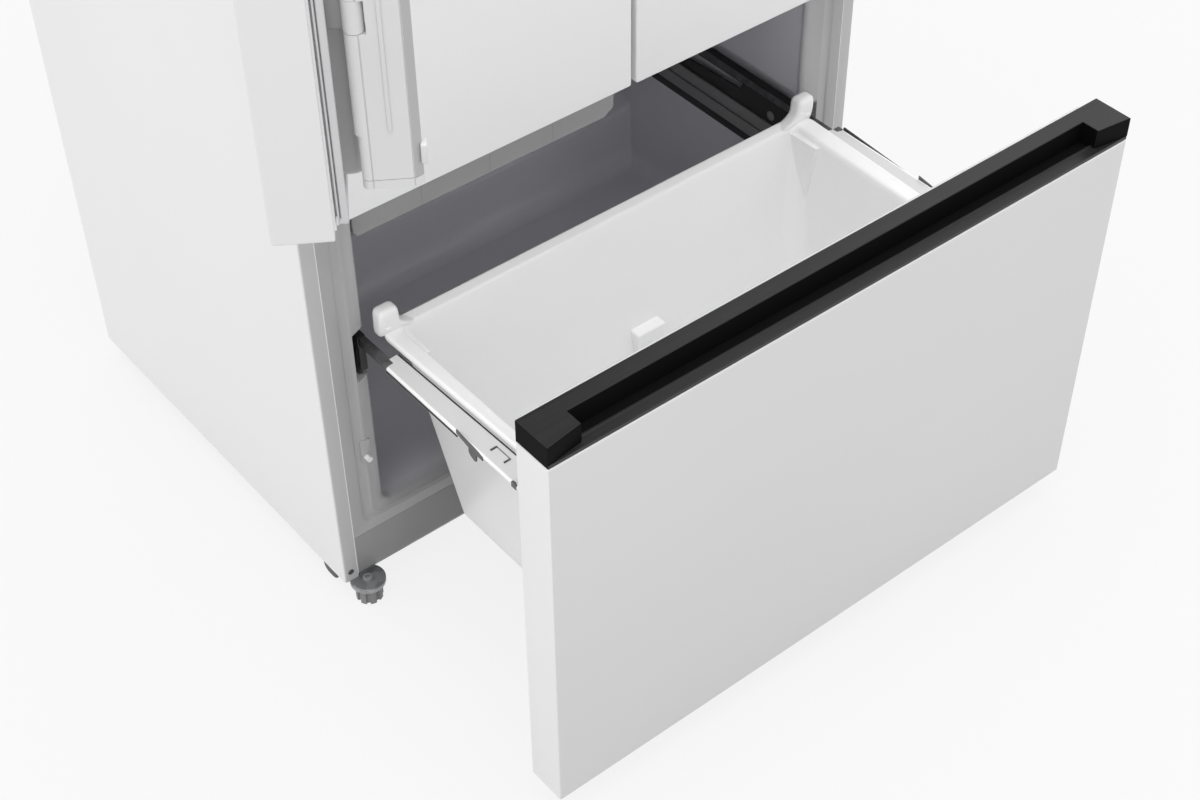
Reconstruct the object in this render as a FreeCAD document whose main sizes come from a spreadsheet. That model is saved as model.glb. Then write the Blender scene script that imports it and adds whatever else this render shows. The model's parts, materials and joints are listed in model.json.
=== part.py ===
import FreeCAD
import Part
import Sketcher

import math
import os
import re

# Five-door refrigerator, photographed with its freezer drawer and its left door open.
# Frame: origin on the floor under the middle of the cabinet, +X to the right, +Y to the back, +Z up.

doc = FreeCAD.newDocument("refrigerator")
sheet = doc.addObject("Spreadsheet::Sheet", "sizes")

# Driving sizes in millimetres and degrees. Heights marked "rise" start at the cabinet's bottom edge,
# depths start at the cabinet's front plane.
sizes = {
    # cabinet
    "cabinet_width": 908,
    "cabinet_depth": 662,
    "cabinet_height": 1720,
    "floor_gap": 35,
    "sheet_gauge": 1,
    "front_return": 22,
    "rear_return": 18,
    "seam": 0.3,
    "side_wall": 69,
    "liner_wall": 3,
    "mouth_width": 29,
    "mouth_depth": 13,
    "mouth_drop": 6,
    "rear_wall": 72,
    "kick_rise": 6,
    "kick_lip": 24,
    "freezer_floor": 99,
    "freezer_room": 495,
    "divider_wall": 94,
    "pantry_room": 224,
    "pantry_divider": 56,
    "roof_wall": 60,
    "hump_depth": 190,
    "hump_step": 101,
    "hump_slope": 70,
    "hump_foam": 45,
    "base_height": 25,
    "base_gauge": 2,
    # machine room
    "compressor_radius": 60,
    "compressor_height": 108,
    "compressor_inset": 87,
    "compressor_side": 190,
    "vent_side_gap": 180,
    "vent_height": 6,
    "vent_pitch": 14,
    # freezer equipment
    "cover_side_gap": 45,
    "cover_depth": 66,
    "cover_lift": 20,
    "cover_roof_gap": 6,
    "cover_wall": 4,
    "coil_side_gap": 50,
    "coil_lift": 10,
    "coil_fan_gap": 90,
    "fan_radius": 50,
    "fan_drop": 78,
    "fan_hub": 16,
    "fan_width": 18,
    "shaft_radius": 3,
    "ice_side_gap": 23,
    "ice_right": 48,
    "ice_draft": 17,
    "ice_front": 28,
    "ice_back_gap": 260,
    "ice_height": 54,
    # fridge equipment
    "glass_gauge": 5,
    "shelf_front": 150,
    "shelf_back_gap": 15,
    "shelf_rim": 12,
    "ledge_width": 9,
    "ledge_height": 8,
    # fronts shared by doors and drawers
    "front_gap": 12,
    "front_thickness": 58,
    "front_skin": 1.5,
    "skin_setback": 2,
    "centre_gap": 8,
    "gasket_inset": 12,
    "gasket_free_inset": 6,
    "gasket_width": 12,
    "gasket_relief": 0.5,
    "gasket_kick_gap": 3,
    # freezer drawer
    "freezer_pull": 408,
    "freezer_front_bottom": 12.7,
    "freezer_front_drop": 0.7,
    "handle_height": 31.5,
    "handle_end": 51,
    "handle_back": 23,
    "handle_floor": 5,
    "rail_web": 2.5,
    "rail_lip": 2,
    "rail_height": 17,
    "rail_drop": 12,
    "rail_reach": 12,
    "rail_play": 0.4,
    "rail_start": 8,
    "rail_back_gap": 102,
    "bracket_height": 135,
    "bracket_drop": 15,
    "bracket_short": 160,
    "runner_web": 4,
    "runner_flange": 3,
    "runner_side_gap": 33,
    "runner_short": 36,
    "tub_rim_drop": 177,
    "tub_floor_gap": 7,
    "tub_side_gap": 58,
    "tub_side_draft": 20,
    "tub_front": 2,
    "tub_front_draft": 22,
    "tub_back_gap": 198,
    "tub_back_draft": 57,
    "tub_wall": 3,
    "tub_round": 28,
    "post_height": 37,
    "post_side_gap": 48,
    "post_width": 30,
    "post_depth": 30,
    # middle drawers
    "pantry_front_drop": 31,
    "box_floor_gap": 8,
    "box_roof_gap": 22,
    "box_back_gap": 170,
    "box_wall": 3,
    "box_clearance": 4,
    "runner_lift": 112,
    "runner_depth": 6,
    "runner_height": 8,
    # doors
    "left_door_angle": 122.7,
    "door_lift": 63,
    "door_roof_gap": 4,
    "hinge_side": 10,
    "hinge_inset": 17.7,
    "pin_radius": 5,
    "pin_play": 0.05,
    "pin_depth": 16,
    "collar_radius": 9,
    "hinge_plate": 4,
    "centre_plate_drop": 24,
    "centre_plate_width": 34,
    "bin_depth": 72,
    "bin_height": 95,
    "bin_lift": 155,
    "bin_inset": 74,
    "bin_wall": 3,
    "dyke_hinge_inset": 64,
    "dyke_free_inset": 42,
    "dyke_foot_gap": 36,
    "dyke_head_gap": 61,
    "dyke_width": 8,
    "dyke_depth": 26,
    # folding centre bar on the left door
    "flipper_thickness": 18,
    "flipper_width": 56,
    "flipper_setback": 16,
    "flipper_gap": 24,
    "flipper_foot_gap": 43,
    "flipper_head_gap": 76,
    "flipper_round": 6,
    "ear_half": 6,
    "ear_height": 30,
    "ear_low_lift": 172,
    "ear_high_drop": 100,
    "ear_pin": 2.5,
    "ear_play": 1,
    # floor supports
    "foot_side": 30,
    "foot_ahead": 10,
    "disc_radius": 25,
    "disc_gauge": 3,
    "foot_radius": 15,
    "foot_play": 3,
    "stud_radius": 5,
    "stud_head": 8,
    "roller_headroom": 1,
    "roller_width": 14,
    "roller_axle": 3,
    "roller_side": 28,
    "front_roller_depth": 75,
    "rear_roller_inset": 47,
    "cheek_gauge": 2,
    "cheek_half": 12,
    "front_roller_lift": 0.6,
    # drawer switch
    "switch_inset": 12,
    "switch_half": 9,
    "switch_lift": 124,
    "switch_half_height": 22,
    "switch_depth": 26,
    "plunger_radius": 4,
    "plunger_play": 0.3,
    "plunger_out": 9,
    "plunger_in": 12,
    "plunger_drop": 12,
}

# Sizes that follow from the driving ones.
followers = {
    "half_room": "cabinet_width / 2 - side_wall",
    "cavity_depth": "cabinet_depth - rear_wall",
    "kick_top": "freezer_floor - kick_lip",
    "freezer_roof": "freezer_floor + freezer_room",
    "pantry_floor": "freezer_roof + divider_wall",
    "pantry_roof": "pantry_floor + pantry_room",
    "fridge_floor": "pantry_roof + divider_wall",
    "fridge_roof": "cabinet_height - roof_wall",
    "shelf_pitch": "(fridge_roof - fridge_floor) / 3",
    "upper_shelf_rise": "fridge_roof - shelf_pitch",
    "lower_shelf_rise": "fridge_floor + shelf_pitch",
    "shelf_back": "cavity_depth - shelf_back_gap",
    "hump_front": "cavity_depth - hump_depth",
    "hump_top": "freezer_floor + hump_step",
    "hump_rise": "hump_top + hump_slope",
    "compressor_depth": "cabinet_depth - compressor_inset",
    "vent_width": "(cabinet_width - vent_side_gap) / 7 - vent_pitch",
    "cover_half": "half_room - cover_side_gap",
    "cover_bottom": "hump_rise + cover_lift",
    "cover_top": "freezer_roof - cover_roof_gap",
    "fan_rise": "cover_top - fan_drop",
    "coil_half": "cover_half - coil_side_gap",
    "coil_bottom": "cover_bottom + coil_lift",
    "coil_top": "fan_rise - coil_fan_gap",
    "ice_left": "half_room - ice_side_gap",
    "ice_back": "cavity_depth - ice_back_gap",
    "ice_bottom": "freezer_roof - ice_height",
    "freezer_gasket_bottom": "kick_top + gasket_kick_gap",
    "freezer_front_top": "freezer_roof - freezer_front_drop",
    "tub_rim": "freezer_roof - tub_rim_drop",
    "tub_bottom": "freezer_floor + tub_floor_gap",
    "tub_half": "half_room - tub_side_gap",
    "tub_half_low": "tub_half - tub_side_draft",
    "tub_front_low": "tub_front + tub_front_draft",
    "tub_back": "cavity_depth - tub_back_gap",
    "tub_back_low": "tub_back - tub_back_draft",
    "post_inner": "half_room - post_side_gap",
    "rail_top": "tub_rim - rail_drop",
    "rail_bottom": "rail_top - rail_height",
    "rail_length": "cavity_depth - rail_back_gap - rail_start",
    "bracket_top": "tub_rim - bracket_drop",
    "bracket_bottom": "bracket_top - bracket_height",
    "bracket_length": "rail_length - bracket_short",
    "runner_flange_inner": "half_room - runner_side_gap",
    "runner_length": "tub_back - runner_short",
    "pantry_front_bottom": "pantry_floor - pantry_front_drop",
    "pantry_front_top": "pantry_roof",
    "box_bottom": "pantry_floor + box_floor_gap",
    "box_top": "pantry_roof - box_roof_gap",
    "box_depth": "cavity_depth - box_back_gap",
    "runner_rise": "pantry_floor + runner_lift",
    "door_bottom": "pantry_front_top + door_lift",
    "door_top": "cabinet_height - door_roof_gap",
    "centre_plate_rise": "door_bottom - centre_plate_drop",
    "bin_rise": "door_bottom + bin_lift",
    "flipper_bottom": "door_bottom + flipper_foot_gap",
    "flipper_top": "door_top - flipper_head_gap",
    "ear_low": "flipper_bottom + ear_low_lift",
    "ear_high": "flipper_top - ear_high_drop",
    "foot_height": "floor_gap - disc_gauge - foot_play",
    "roller_radius": "(floor_gap - roller_headroom) / 2",
    "rear_roller_depth": "cabinet_depth - rear_roller_inset",
    "switch_side": "side_wall - switch_inset",
    "switch_rise": "freezer_floor + switch_lift",
}

cells = {**sizes, **{name: "=" + rule for name, rule in followers.items()}}
for row, (name, value) in enumerate(cells.items(), start=1):
    sheet.set(f"A{row}", name)
    sheet.set(f"B{row}", str(value))
    sheet.setAlias(f"B{row}", name)
doc.recompute()

# Places that follow from the driving sizes, written as formulas for the sheet's aliases.
front = "(-cabinet_depth / 2)"
back = "(cabinet_depth / 2)"
side = "(cabinet_width / 2)"
base = "floor_gap"
roof = "(floor_gap + cabinet_height)"
cavity = f"({side} - side_wall)"
lower_joint = "((freezer_roof + pantry_floor) / 2)"
upper_joint = "((pantry_roof + fridge_floor) / 2)"
door_width = f"({side} - centre_gap / 2)"
outer_face = f"({front} - front_gap - front_thickness)"
inner_face = f"({front} - front_gap)"

words = re.compile(r"[a-z][a-z_]*")
nodes = {}


def formula(text):
    return words.sub(lambda found: "sizes." + found[0] if found[0] in cells else found[0], str(text))


def rise(level):
    return f"({base} + {level})"


def depth(distance):
    return f"({front} + {distance})"


def mirrored(hand, low, high):
    # a span of X on the right side, or its mirror image on the left
    return (low, high) if hand == "right" else (f"-({high})", f"-({low})")


def block(name, x, y, z):
    box = doc.addObject("Part::Box", name)
    for length, axis, (low, high) in zip(("Length", "Width", "Height"), "xyz", (x, y, z)):
        box.setExpression(length, formula(f"({high}) - ({low})"))
        box.setExpression(f"Placement.Base.{axis}", formula(low))
    return box


def rod(name, axis, x, y, z, radius):
    # a round bar: the span along its axis is a pair, the other two places are single formulas
    turns = {
        "X": FreeCAD.Rotation(FreeCAD.Vector(0, 1, 0), 90),
        "Y": FreeCAD.Rotation(FreeCAD.Vector(1, 0, 0), -90),
        "Z": FreeCAD.Rotation(),
    }
    bar = doc.addObject("Part::Cylinder", name)
    bar.Placement = FreeCAD.Placement(FreeCAD.Vector(), turns[axis])
    bar.setExpression("Radius", formula(radius))
    for letter, place in zip("XYZ", (x, y, z)):
        if letter == axis:
            bar.setExpression("Height", formula(f"({place[1]}) - ({place[0]})"))
            place = place[0]
        bar.setExpression(f"Placement.Base.{letter.lower()}", formula(place))
    return bar


def funnel(name, x_near, z_near, x_far, z_far, y):
    # a four-sided taper from a near rectangle to a far one, along Y
    taper = doc.addObject("Part::Wedge", name)
    places = {
        "Xmin": x_near[0], "Xmax": x_near[1], "Zmin": z_near[0], "Zmax": z_near[1],
        "X2min": x_far[0], "X2max": x_far[1], "Z2min": z_far[0], "Z2max": z_far[1],
        "Ymin": y[0], "Ymax": y[1],
    }
    for place, text in places.items():
        taper.setExpression(place, formula(text))
    return taper


def outline(body, plane, points, offset):
    # a closed sketch whose corners are all held by formulas
    sketch = body.newObject("Sketcher::SketchObject", body.Name + "_outline")
    roles = {feature.Role: feature for feature in body.Origin.OriginFeatures}
    sketch.AttachmentSupport = [(roles[plane + "_Plane"], "")]
    sketch.MapMode = "FlatFace"
    sketch.setExpression("AttachmentOffset.Base.z", formula(offset))
    count = len(points)
    ring = []
    for step in range(count):
        turn = 2 * math.pi * step / count
        ring.append(FreeCAD.Vector(100 * math.cos(turn), 100 * math.sin(turn), 0))
    for step in range(count):
        sketch.addGeometry(Part.LineSegment(ring[step], ring[(step + 1) % count]), False)
    for step in range(count):
        sketch.addConstraint(Sketcher.Constraint("Coincident", step, 2, (step + 1) % count, 1))
    for step, (across, along) in enumerate(points):
        for kind, text, start in (("DistanceX", across, ring[step].x), ("DistanceY", along, ring[step].y)):
            index = sketch.addConstraint(Sketcher.Constraint(kind, -1, 1, step, 1, start))
            sketch.setExpression(f"Constraints[{index}]", formula(text))
    return sketch


def prism(name, plane, points, span):
    # a body padded from a closed outline, along the axis that the plane leaves out
    body = doc.addObject("PartDesign::Body", name)
    start = f"-({span[1]})" if plane == "XZ" else span[0]
    sketch = outline(body, plane, points, start)
    pad = body.newObject("PartDesign::Pad", name + "_pad")
    pad.Profile = sketch
    pad.setExpression("Length", formula(f"({span[1]}) - ({span[0]})"))
    sketch.Visibility = False
    body.Tip = pad
    doc.recompute()
    return body


def turned(name, points):
    # a body revolved about Z from an outline in X and Z
    body = doc.addObject("PartDesign::Body", name)
    sketch = outline(body, "XZ", points, "0")
    spin = body.newObject("PartDesign::Revolution", name + "_turn")
    spin.Profile = sketch
    spin.ReferenceAxis = (sketch, ["V_Axis"])
    spin.Angle = 360
    sketch.Visibility = False
    body.Tip = spin
    doc.recompute()
    return body


def rounded(body, axis, radius, wanted=lambda middle: True):
    # fillets the straight edges of a body's tip that run along one axis
    solid = body.Tip
    edges = []
    for number, edge in enumerate(solid.Shape.Edges, start=1):
        run = edge.Vertexes[-1].Point - edge.Vertexes[0].Point
        off_axis = [abs(run[k]) for k in range(3) if k != "XYZ".index(axis)]
        if run.Length > 0 and max(off_axis) < 1e-6 and wanted(edge.CenterOfMass):
            edges.append(f"Edge{number}")
    fillet = body.newObject("PartDesign::Fillet", body.Name + "_round_" + axis.lower())
    fillet.Base = (solid, edges)
    fillet.setExpression("Radius", formula(radius))
    body.Tip = fillet
    doc.recompute()
    return body


def joined(name, pieces):
    union = doc.addObject("Part::MultiFuse", name)
    union.Shapes = pieces
    return union


def without(name, whole, tools):
    result = doc.addObject("Part::Cut", name)
    result.Base = whole
    result.Tool = tools[0] if len(tools) == 1 else joined(name + "_tools", tools)
    return result


def keep(label, piece):
    piece.Label = label
    nodes[label] = piece
    return piece


def pulled(piece, distance):
    piece.setExpression("Placement.Base.y", formula(f"-({distance})"))


def hung(piece, hand, opening=None):
    # puts a piece made around its hinge axis on that axis, turned by the door's opening
    place = mirrored(hand, f"{side} - hinge_side", "0")[0 if hand == "right" else 1]
    turn = FreeCAD.Rotation(FreeCAD.Vector(0, 0, -1), 1 if opening else 0)
    piece.Placement = FreeCAD.Placement(FreeCAD.Vector(), turn)
    piece.setExpression("Placement.Base.x", formula(place))
    piece.setExpression("Placement.Base.y", formula(f"{outer_face} + hinge_inset"))
    if opening:
        piece.setExpression("Placement.Rotation.Angle", formula(opening))


# Cabinet skin


def side_panel(hand):
    sign = 1 if hand == "right" else -1
    corners = [
        (side, front),
        (f"{side} - front_return", front),
        (f"{side} - front_return", f"{front} + sheet_gauge"),
        (f"{side} - sheet_gauge", f"{front} + sheet_gauge"),
        (f"{side} - sheet_gauge", f"{back} - sheet_gauge"),
        (f"{side} - rear_return", f"{back} - sheet_gauge"),
        (f"{side} - rear_return", back),
        (side, back),
    ]
    points = [(f"{sign} * ({across})", along) for across, along in corners]
    keep(f"{hand}_side_panel", prism(f"{hand}_side_panel", "XY", points, (base, roof)))


for hand in ("left", "right"):
    side_panel(hand)

panel_half = f"({side} - rear_return - seam)"
machine_top = "(hump_rise - hump_foam)"
keep("rear_panel", block(
    "rear_panel",
    (f"-{panel_half}", panel_half),
    (f"{back} - sheet_gauge", back),
    (f"{rise(machine_top)} + seam", f"{roof} - sheet_gauge - seam"),
))
skin_half = f"({side} - sheet_gauge)"
keep("top_panel", block(
    "top_panel",
    (f"-{skin_half}", skin_half),
    (f"{front} + sheet_gauge", f"{back} - sheet_gauge"),
    (f"{roof} - sheet_gauge", roof),
))

# Liners: each is a flange on the front plane, a tapered mouth and a box


def cavity_solids(name, x, z, grow, bevel="mouth_width"):
    # the hollow of one compartment, or with grow the outside of its liner
    low_x, high_x = f"{x[0]} - {grow}", f"{x[1]} + {grow}"
    low_z, high_z = f"{z[0]} - {grow}", f"{z[1]} + {grow}"
    hall = block(
        f"{name}_hall", (low_x, high_x), (depth("0"), depth(f"cavity_depth + {grow}")), (low_z, high_z))
    mouth = funnel(
        f"{name}_mouth",
        (f"{low_x} - {bevel}", f"{high_x} + {bevel}"),
        (f"{low_z} - mouth_drop", f"{high_z} + mouth_drop"),
        (low_x, high_x),
        (low_z, high_z),
        (depth("0"), depth("mouth_depth")),
    )
    return [hall, mouth]


def flange(name, low, high):
    half = f"({side} - front_return - seam)"
    return block(f"{name}_flange", (f"-{half}", half), (front, depth("liner_wall")), (low, high))


def hump(name, grow):
    # the step over the machine room, with its sloping top
    points = [
        (depth(f"hump_front + {grow}"), f"{rise('freezer_floor')} - 2 * liner_wall"),
        (depth(f"hump_front + {grow}"), f"{rise('hump_top')} - {grow}"),
        (depth("cavity_depth + 2 * liner_wall"), f"{rise('hump_rise')} - {grow}"),
        (depth("cavity_depth + 2 * liner_wall"), f"{rise('freezer_floor')} - 2 * liner_wall"),
    ]
    reach = f"({cavity} + 2 * liner_wall)"
    return prism(name, "YZ", points, (f"-{reach}", reach))


freezer_z = (rise("freezer_floor"), rise("freezer_roof"))
pantry_z = (rise("pantry_floor"), rise("pantry_roof"))
fridge_z = (rise("fridge_floor"), rise("fridge_roof"))
whole_x = (f"-{cavity}", cavity)
left_x = (f"-{cavity}", "-(pantry_divider / 2)")
right_x = ("pantry_divider / 2", cavity)


def switch_pocket(name, play):
    middle = f"-({side} - switch_side)"
    return block(
        name,
        (f"{middle} - switch_half - {play}", f"{middle} + switch_half + {play}"),
        (depth(f"0 - {play}"), depth(f"switch_depth + {play}")),
        (f"{rise('switch_rise')} - switch_half_height - {play}",
         f"{rise('switch_rise')} + switch_half_height + {play}"),
    )


freezer_shell = without("freezer_shell", joined("freezer_outside", [
    flange("freezer", rise("kick_top"), f"{rise(lower_joint)} - seam"),
    *cavity_solids("freezer_out", whole_x, freezer_z, "liner_wall"),
]), [hump("hump_void", "liner_wall"), *cavity_solids("freezer_in", whole_x, freezer_z, "0")])
hump_cover = without("hump_cover", hump("hump_skin", "0"), [
    hump("hump_hollow", "liner_wall"),
    block(
        "hump_end",
        (f"-{side}", side),
        (depth("cavity_depth + liner_wall"), back),
        (base, roof),
    ),
])
hump_trim = doc.addObject("Part::Common", "hump_trim")
hump_trim.Base = hump_cover
hump_trim.Tool = block(
    "hump_room",
    (f"-{cavity}", cavity),
    (depth("0"), depth("cavity_depth + liner_wall")),
    (f"{rise('freezer_floor')} - liner_wall", rise("freezer_roof")),
)
keep("freezer_liner", without("freezer_liner", joined("freezer_form", [freezer_shell, hump_trim]), [
    switch_pocket("switch_cut", "seam"),
]))

runner_ledge_z = (f"{rise('runner_rise')} - runner_height - seam", f"{rise('runner_rise')} - seam")
pantry_ledges = []
for number, (wall, room) in enumerate((
        (left_x[0], f"{left_x[0]} + runner_depth"),
        (f"{left_x[1]} - runner_depth", left_x[1]),
        (right_x[0], f"{right_x[0]} + runner_depth"),
        (f"{right_x[1]} - runner_depth", right_x[1]))):
    ledge_y = (depth("mouth_depth"), depth("cavity_depth"))
    pantry_ledges.append(block(f"pantry_ledge_{number}", (wall, room), ledge_y, runner_ledge_z))
pantry_shell = without("pantry_shell", joined("pantry_outside", [
    flange("pantry", rise(lower_joint), f"{rise(upper_joint)} - seam"),
    *cavity_solids("pantry_left_out", left_x, pantry_z, "liner_wall", "mouth_drop"),
    *cavity_solids("pantry_right_out", right_x, pantry_z, "liner_wall", "mouth_drop"),
]), cavity_solids("pantry_left_in", left_x, pantry_z, "0", "mouth_drop")
    + cavity_solids("pantry_right_in", right_x, pantry_z, "0", "mouth_drop"))
keep("pantry_liner", joined("pantry_liner", [pantry_shell, *pantry_ledges]))

shelf_ledges = []
for shelf in ("upper", "lower"):
    for hand in ("left", "right"):
        shelf_ledges.append(block(
            f"{shelf}_{hand}_ledge",
            mirrored(hand, f"{cavity} - ledge_width", cavity),
            (depth("shelf_front"), depth("cavity_depth")),
            (f"{rise(shelf + '_shelf_rise')} - ledge_height", rise(f"{shelf}_shelf_rise")),
        ))
fridge_shell = without("fridge_shell", joined("fridge_outside", [
    flange("fridge", rise(upper_joint), f"{roof} - sheet_gauge - seam"),
    *cavity_solids("fridge_out", whole_x, fridge_z, "liner_wall"),
]), cavity_solids("fridge_in", whole_x, fridge_z, "0"))
keep("fridge_liner", joined("fridge_liner", [fridge_shell, *shelf_ledges]))

# Foam between the skin and the liners

machine_room = prism("machine_room", "YZ", [
    (depth("hump_front + hump_foam"), base),
    (depth("hump_front + hump_foam"), f"{rise('hump_top')} - hump_foam"),
    (depth("cavity_depth"), rise(machine_top)),
    (back, rise(machine_top)),
    (back, base),
], (f"-{side}", side))
freezer_void = without("freezer_void", joined("freezer_space", cavity_solids(
    "freezer_gap", whole_x, freezer_z, "liner_wall")), [hump("foamed_hump", "liner_wall")])
keep("cabinet_foam", without("cabinet_foam", block(
    "foam_block",
    (f"-{skin_half}", skin_half),
    (depth("liner_wall"), f"{back} - sheet_gauge"),
    (rise("base_height"), f"{roof} - sheet_gauge"),
), [
    machine_room,
    freezer_void,
    *cavity_solids("pantry_left_void", left_x, pantry_z, "liner_wall", "mouth_drop"),
    *cavity_solids("pantry_right_void", right_x, pantry_z, "liner_wall", "mouth_drop"),
    *cavity_solids("fridge_void", whole_x, fridge_z, "liner_wall"),
    switch_pocket("switch_void", "seam"),
]))

# Base and machine room

keep("kick_plate", block(
    "kick_plate",
    (f"-({side} - front_return - seam)", f"{side} - front_return - seam"),
    (front, depth("liner_wall")),
    (rise("kick_rise"), f"{rise('kick_top')} - seam"),
))


def roller_place(hand, end):
    across = f"({side} - roller_side)" if hand == "right" else f"-({side} - roller_side)"
    lift = "front_roller_lift" if end == "front" else "0"
    return across, depth(f"{end}_roller_depth"), f"(roller_radius + {lift})"


def roller_fork(hand, end):
    # two cheeks and the axle between them, hanging from the base
    across, along, up = roller_place(hand, end)
    reach = "(roller_width / 2 + seam + cheek_gauge)"
    cheeks = []
    for number, low in enumerate((f"{across} - {reach}", f"{across} + {reach} - cheek_gauge")):
        cheeks.append(block(
            f"{hand}_{end}_cheek_{number}",
            (low, f"{low} + cheek_gauge"),
            (f"{along} - cheek_half", f"{along} + cheek_half"),
            (f"{up} - roller_axle - cheek_gauge", base),
        ))
    span = (f"{across} - {reach}", f"{across} + {reach}")
    return cheeks + [rod(f"{hand}_{end}_axle", "X", span, along, up, "roller_axle")]


base_half = f"({skin_half} - seam)"
base_tray = without("base_tray", block(
    "base_block",
    (f"-{base_half}", base_half),
    (depth("liner_wall + seam"), f"{back} - sheet_gauge - seam"),
    (base, f"{rise('base_height')}"),
), [block(
    "base_hollow",
    (f"-({base_half} - base_gauge)", f"{base_half} - base_gauge"),
    (depth("liner_wall + seam + base_gauge"), f"{back} - sheet_gauge - seam - base_gauge"),
    (f"{base} - 1", f"{rise('base_height')} - base_gauge"),
)])
fork_plates = []
for hand in ("left", "right"):
    across, along, up = roller_place(hand, "rear")
    fork_plates.append(block(
        f"{hand}_rear_plate",
        mirrored(hand, f"{side} - roller_side - cheek_half", base_half),
        (f"{along} - cheek_half", f"{along} + cheek_half"),
        (base, f"{base} + base_gauge"),
    ))
    fork_plates += roller_fork(hand, "rear")
keep("base_pan", joined("base_pan", [base_tray, *fork_plates]))

vents = []
for row in range(9):
    for column in range(-3, 4):
        vents.append(block(
            f"vent_{row}_{column + 3}",
            (f"{column} * (vent_width + vent_pitch) - vent_width / 2",
             f"{column} * (vent_width + vent_pitch) + vent_width / 2"),
            (f"{back} - 2 * sheet_gauge", f"{back} + sheet_gauge"),
            (f"{rise('base_height')} + {row + 2} * vent_pitch",
             f"{rise('base_height')} + {row + 2} * vent_pitch + vent_height"),
        ))
keep("machine_cover", without("machine_cover", block(
    "cover_sheet",
    (f"-{panel_half}", panel_half),
    (f"{back} - sheet_gauge", back),
    (base, rise(machine_top)),
), vents))

compressor_can = turned("compressor_can", [
    ("0", "0"),
    ("compressor_radius", "0"),
    ("compressor_radius", "compressor_height * 0.7"),
    ("compressor_radius * 0.72", "compressor_height"),
    ("0", "compressor_height"),
])
compressor_can.setExpression("Placement.Base.x", formula("-compressor_side"))
compressor_can.setExpression("Placement.Base.y", formula(depth("compressor_depth")))
compressor_can.setExpression("Placement.Base.z", formula(rise("base_height")))
compressor_foot = block(
    "compressor_foot",
    ("-compressor_side - compressor_radius * 1.25", "-compressor_side + compressor_radius * 1.25"),
    (depth("compressor_depth - compressor_radius / 2"), depth("compressor_depth + compressor_radius / 2")),
    (rise("base_height"), f"{rise('base_height')} + base_gauge"),
)
keep("compressor", joined("compressor", [compressor_can, compressor_foot]))

# Cooling in the freezer

cover_front = depth("cavity_depth - cover_depth")
fan_place = ("0", rise("fan_rise"))
cover_pan = without("cover_pan", block(
    "cover_block",
    ("-cover_half", "cover_half"),
    (cover_front, depth("cavity_depth")),
    (rise("cover_bottom"), rise("cover_top")),
), [
    block(
        "cover_hollow",
        ("-cover_half + cover_wall", "cover_half - cover_wall"),
        (f"{cover_front} + cover_wall", depth("cavity_depth + 1")),
        (f"{rise('cover_bottom')} + cover_wall", f"{rise('cover_top')} - cover_wall"),
    ),
    rod("fan_mouth", "Y", fan_place[0], (f"{cover_front} - 1", f"{cover_front} + 2 * cover_wall"),
        fan_place[1], "fan_radius + cover_wall"),
])
fan_beam = block(
    "fan_beam",
    ("-cover_half + cover_wall", "cover_half - cover_wall"),
    (depth("cavity_depth - 2 * cover_wall"), depth("cavity_depth")),
    (f"{fan_place[1]} - fan_hub", f"{fan_place[1]} + fan_hub"),
)
fan_motor = rod("fan_motor", "Y", fan_place[0],
                (f"{cover_front} + cover_wall + fan_width + seam", depth("cavity_depth - cover_wall")),
                fan_place[1], "fan_hub")
fan_shaft = rod("fan_shaft", "Y", fan_place[0],
                (f"{cover_front} + cover_wall", depth("cavity_depth - cover_wall")),
                fan_place[1], "shaft_radius")
keep("evaporator_cover", joined("evaporator_cover", [cover_pan, fan_beam, fan_motor, fan_shaft]))

keep("evaporator", block(
    "evaporator",
    ("-coil_half", "coil_half"),
    (f"{cover_front} + cover_wall + seam", depth("cavity_depth - seam")),
    (rise("coil_bottom"), rise("coil_top")),
))

fan_blades = []
for number in range(5):
    blade = doc.addObject("Part::Box", f"fan_blade_{number}")
    blade.setExpression("Length", formula("fan_radius"))
    blade.setExpression("Width", formula("fan_width"))
    blade.setExpression("Height", formula("cover_wall / 2"))
    turn = FreeCAD.Rotation(FreeCAD.Vector(0, 1, 0), 72 * number)
    blade.Placement = FreeCAD.Placement(FreeCAD.Vector(), turn)
    blade.setExpression("Placement.Base.y", formula(f"{cover_front} + cover_wall"))
    blade.setExpression("Placement.Base.z", formula(fan_place[1]))
    fan_blades.append(blade)
fan_hub = rod("fan_hub_solid", "Y", fan_place[0],
              (f"{cover_front} + cover_wall", f"{cover_front} + cover_wall + fan_width"),
              fan_place[1], "fan_hub")
keep("freezer_fan", without("freezer_fan", joined("fan_wheel", [fan_hub, *fan_blades]), [
    rod("fan_bore", "Y", fan_place[0], (f"{cover_front}", f"{cover_front} + 2 * cover_wall + fan_width"),
        fan_place[1], "shaft_radius + pin_play"),
]))

keep("ice_maker", prism("ice_maker", "XZ", [
    ("-ice_left + ice_draft", rise("ice_bottom")),
    ("ice_right - ice_draft", rise("ice_bottom")),
    ("ice_right", rise("freezer_roof")),
    ("-ice_left", rise("freezer_roof")),
], (depth("ice_front"), depth("ice_back"))))

# Fridge shelves

for shelf in ("upper", "lower"):
    half = f"({cavity} - seam)"
    bed = rise(f"{shelf}_shelf_rise")
    keep(f"{shelf}_shelf", joined(f"{shelf}_shelf", [
        block(f"{shelf}_pane", (f"-{half}", half), (depth("shelf_front"), depth("shelf_back")),
              (bed, f"{bed} + glass_gauge")),
        block(f"{shelf}_trim", (f"-{half} + ledge_width + seam", f"{half} - ledge_width - seam"),
              (depth("shelf_front - shelf_rim"), depth("shelf_front")),
              (f"{bed} - shelf_rim", f"{bed} + glass_gauge + shelf_rim / 4")),
    ]))

# Hinges on the cabinet

hinge_y = f"({outer_face} + hinge_inset)"


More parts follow.
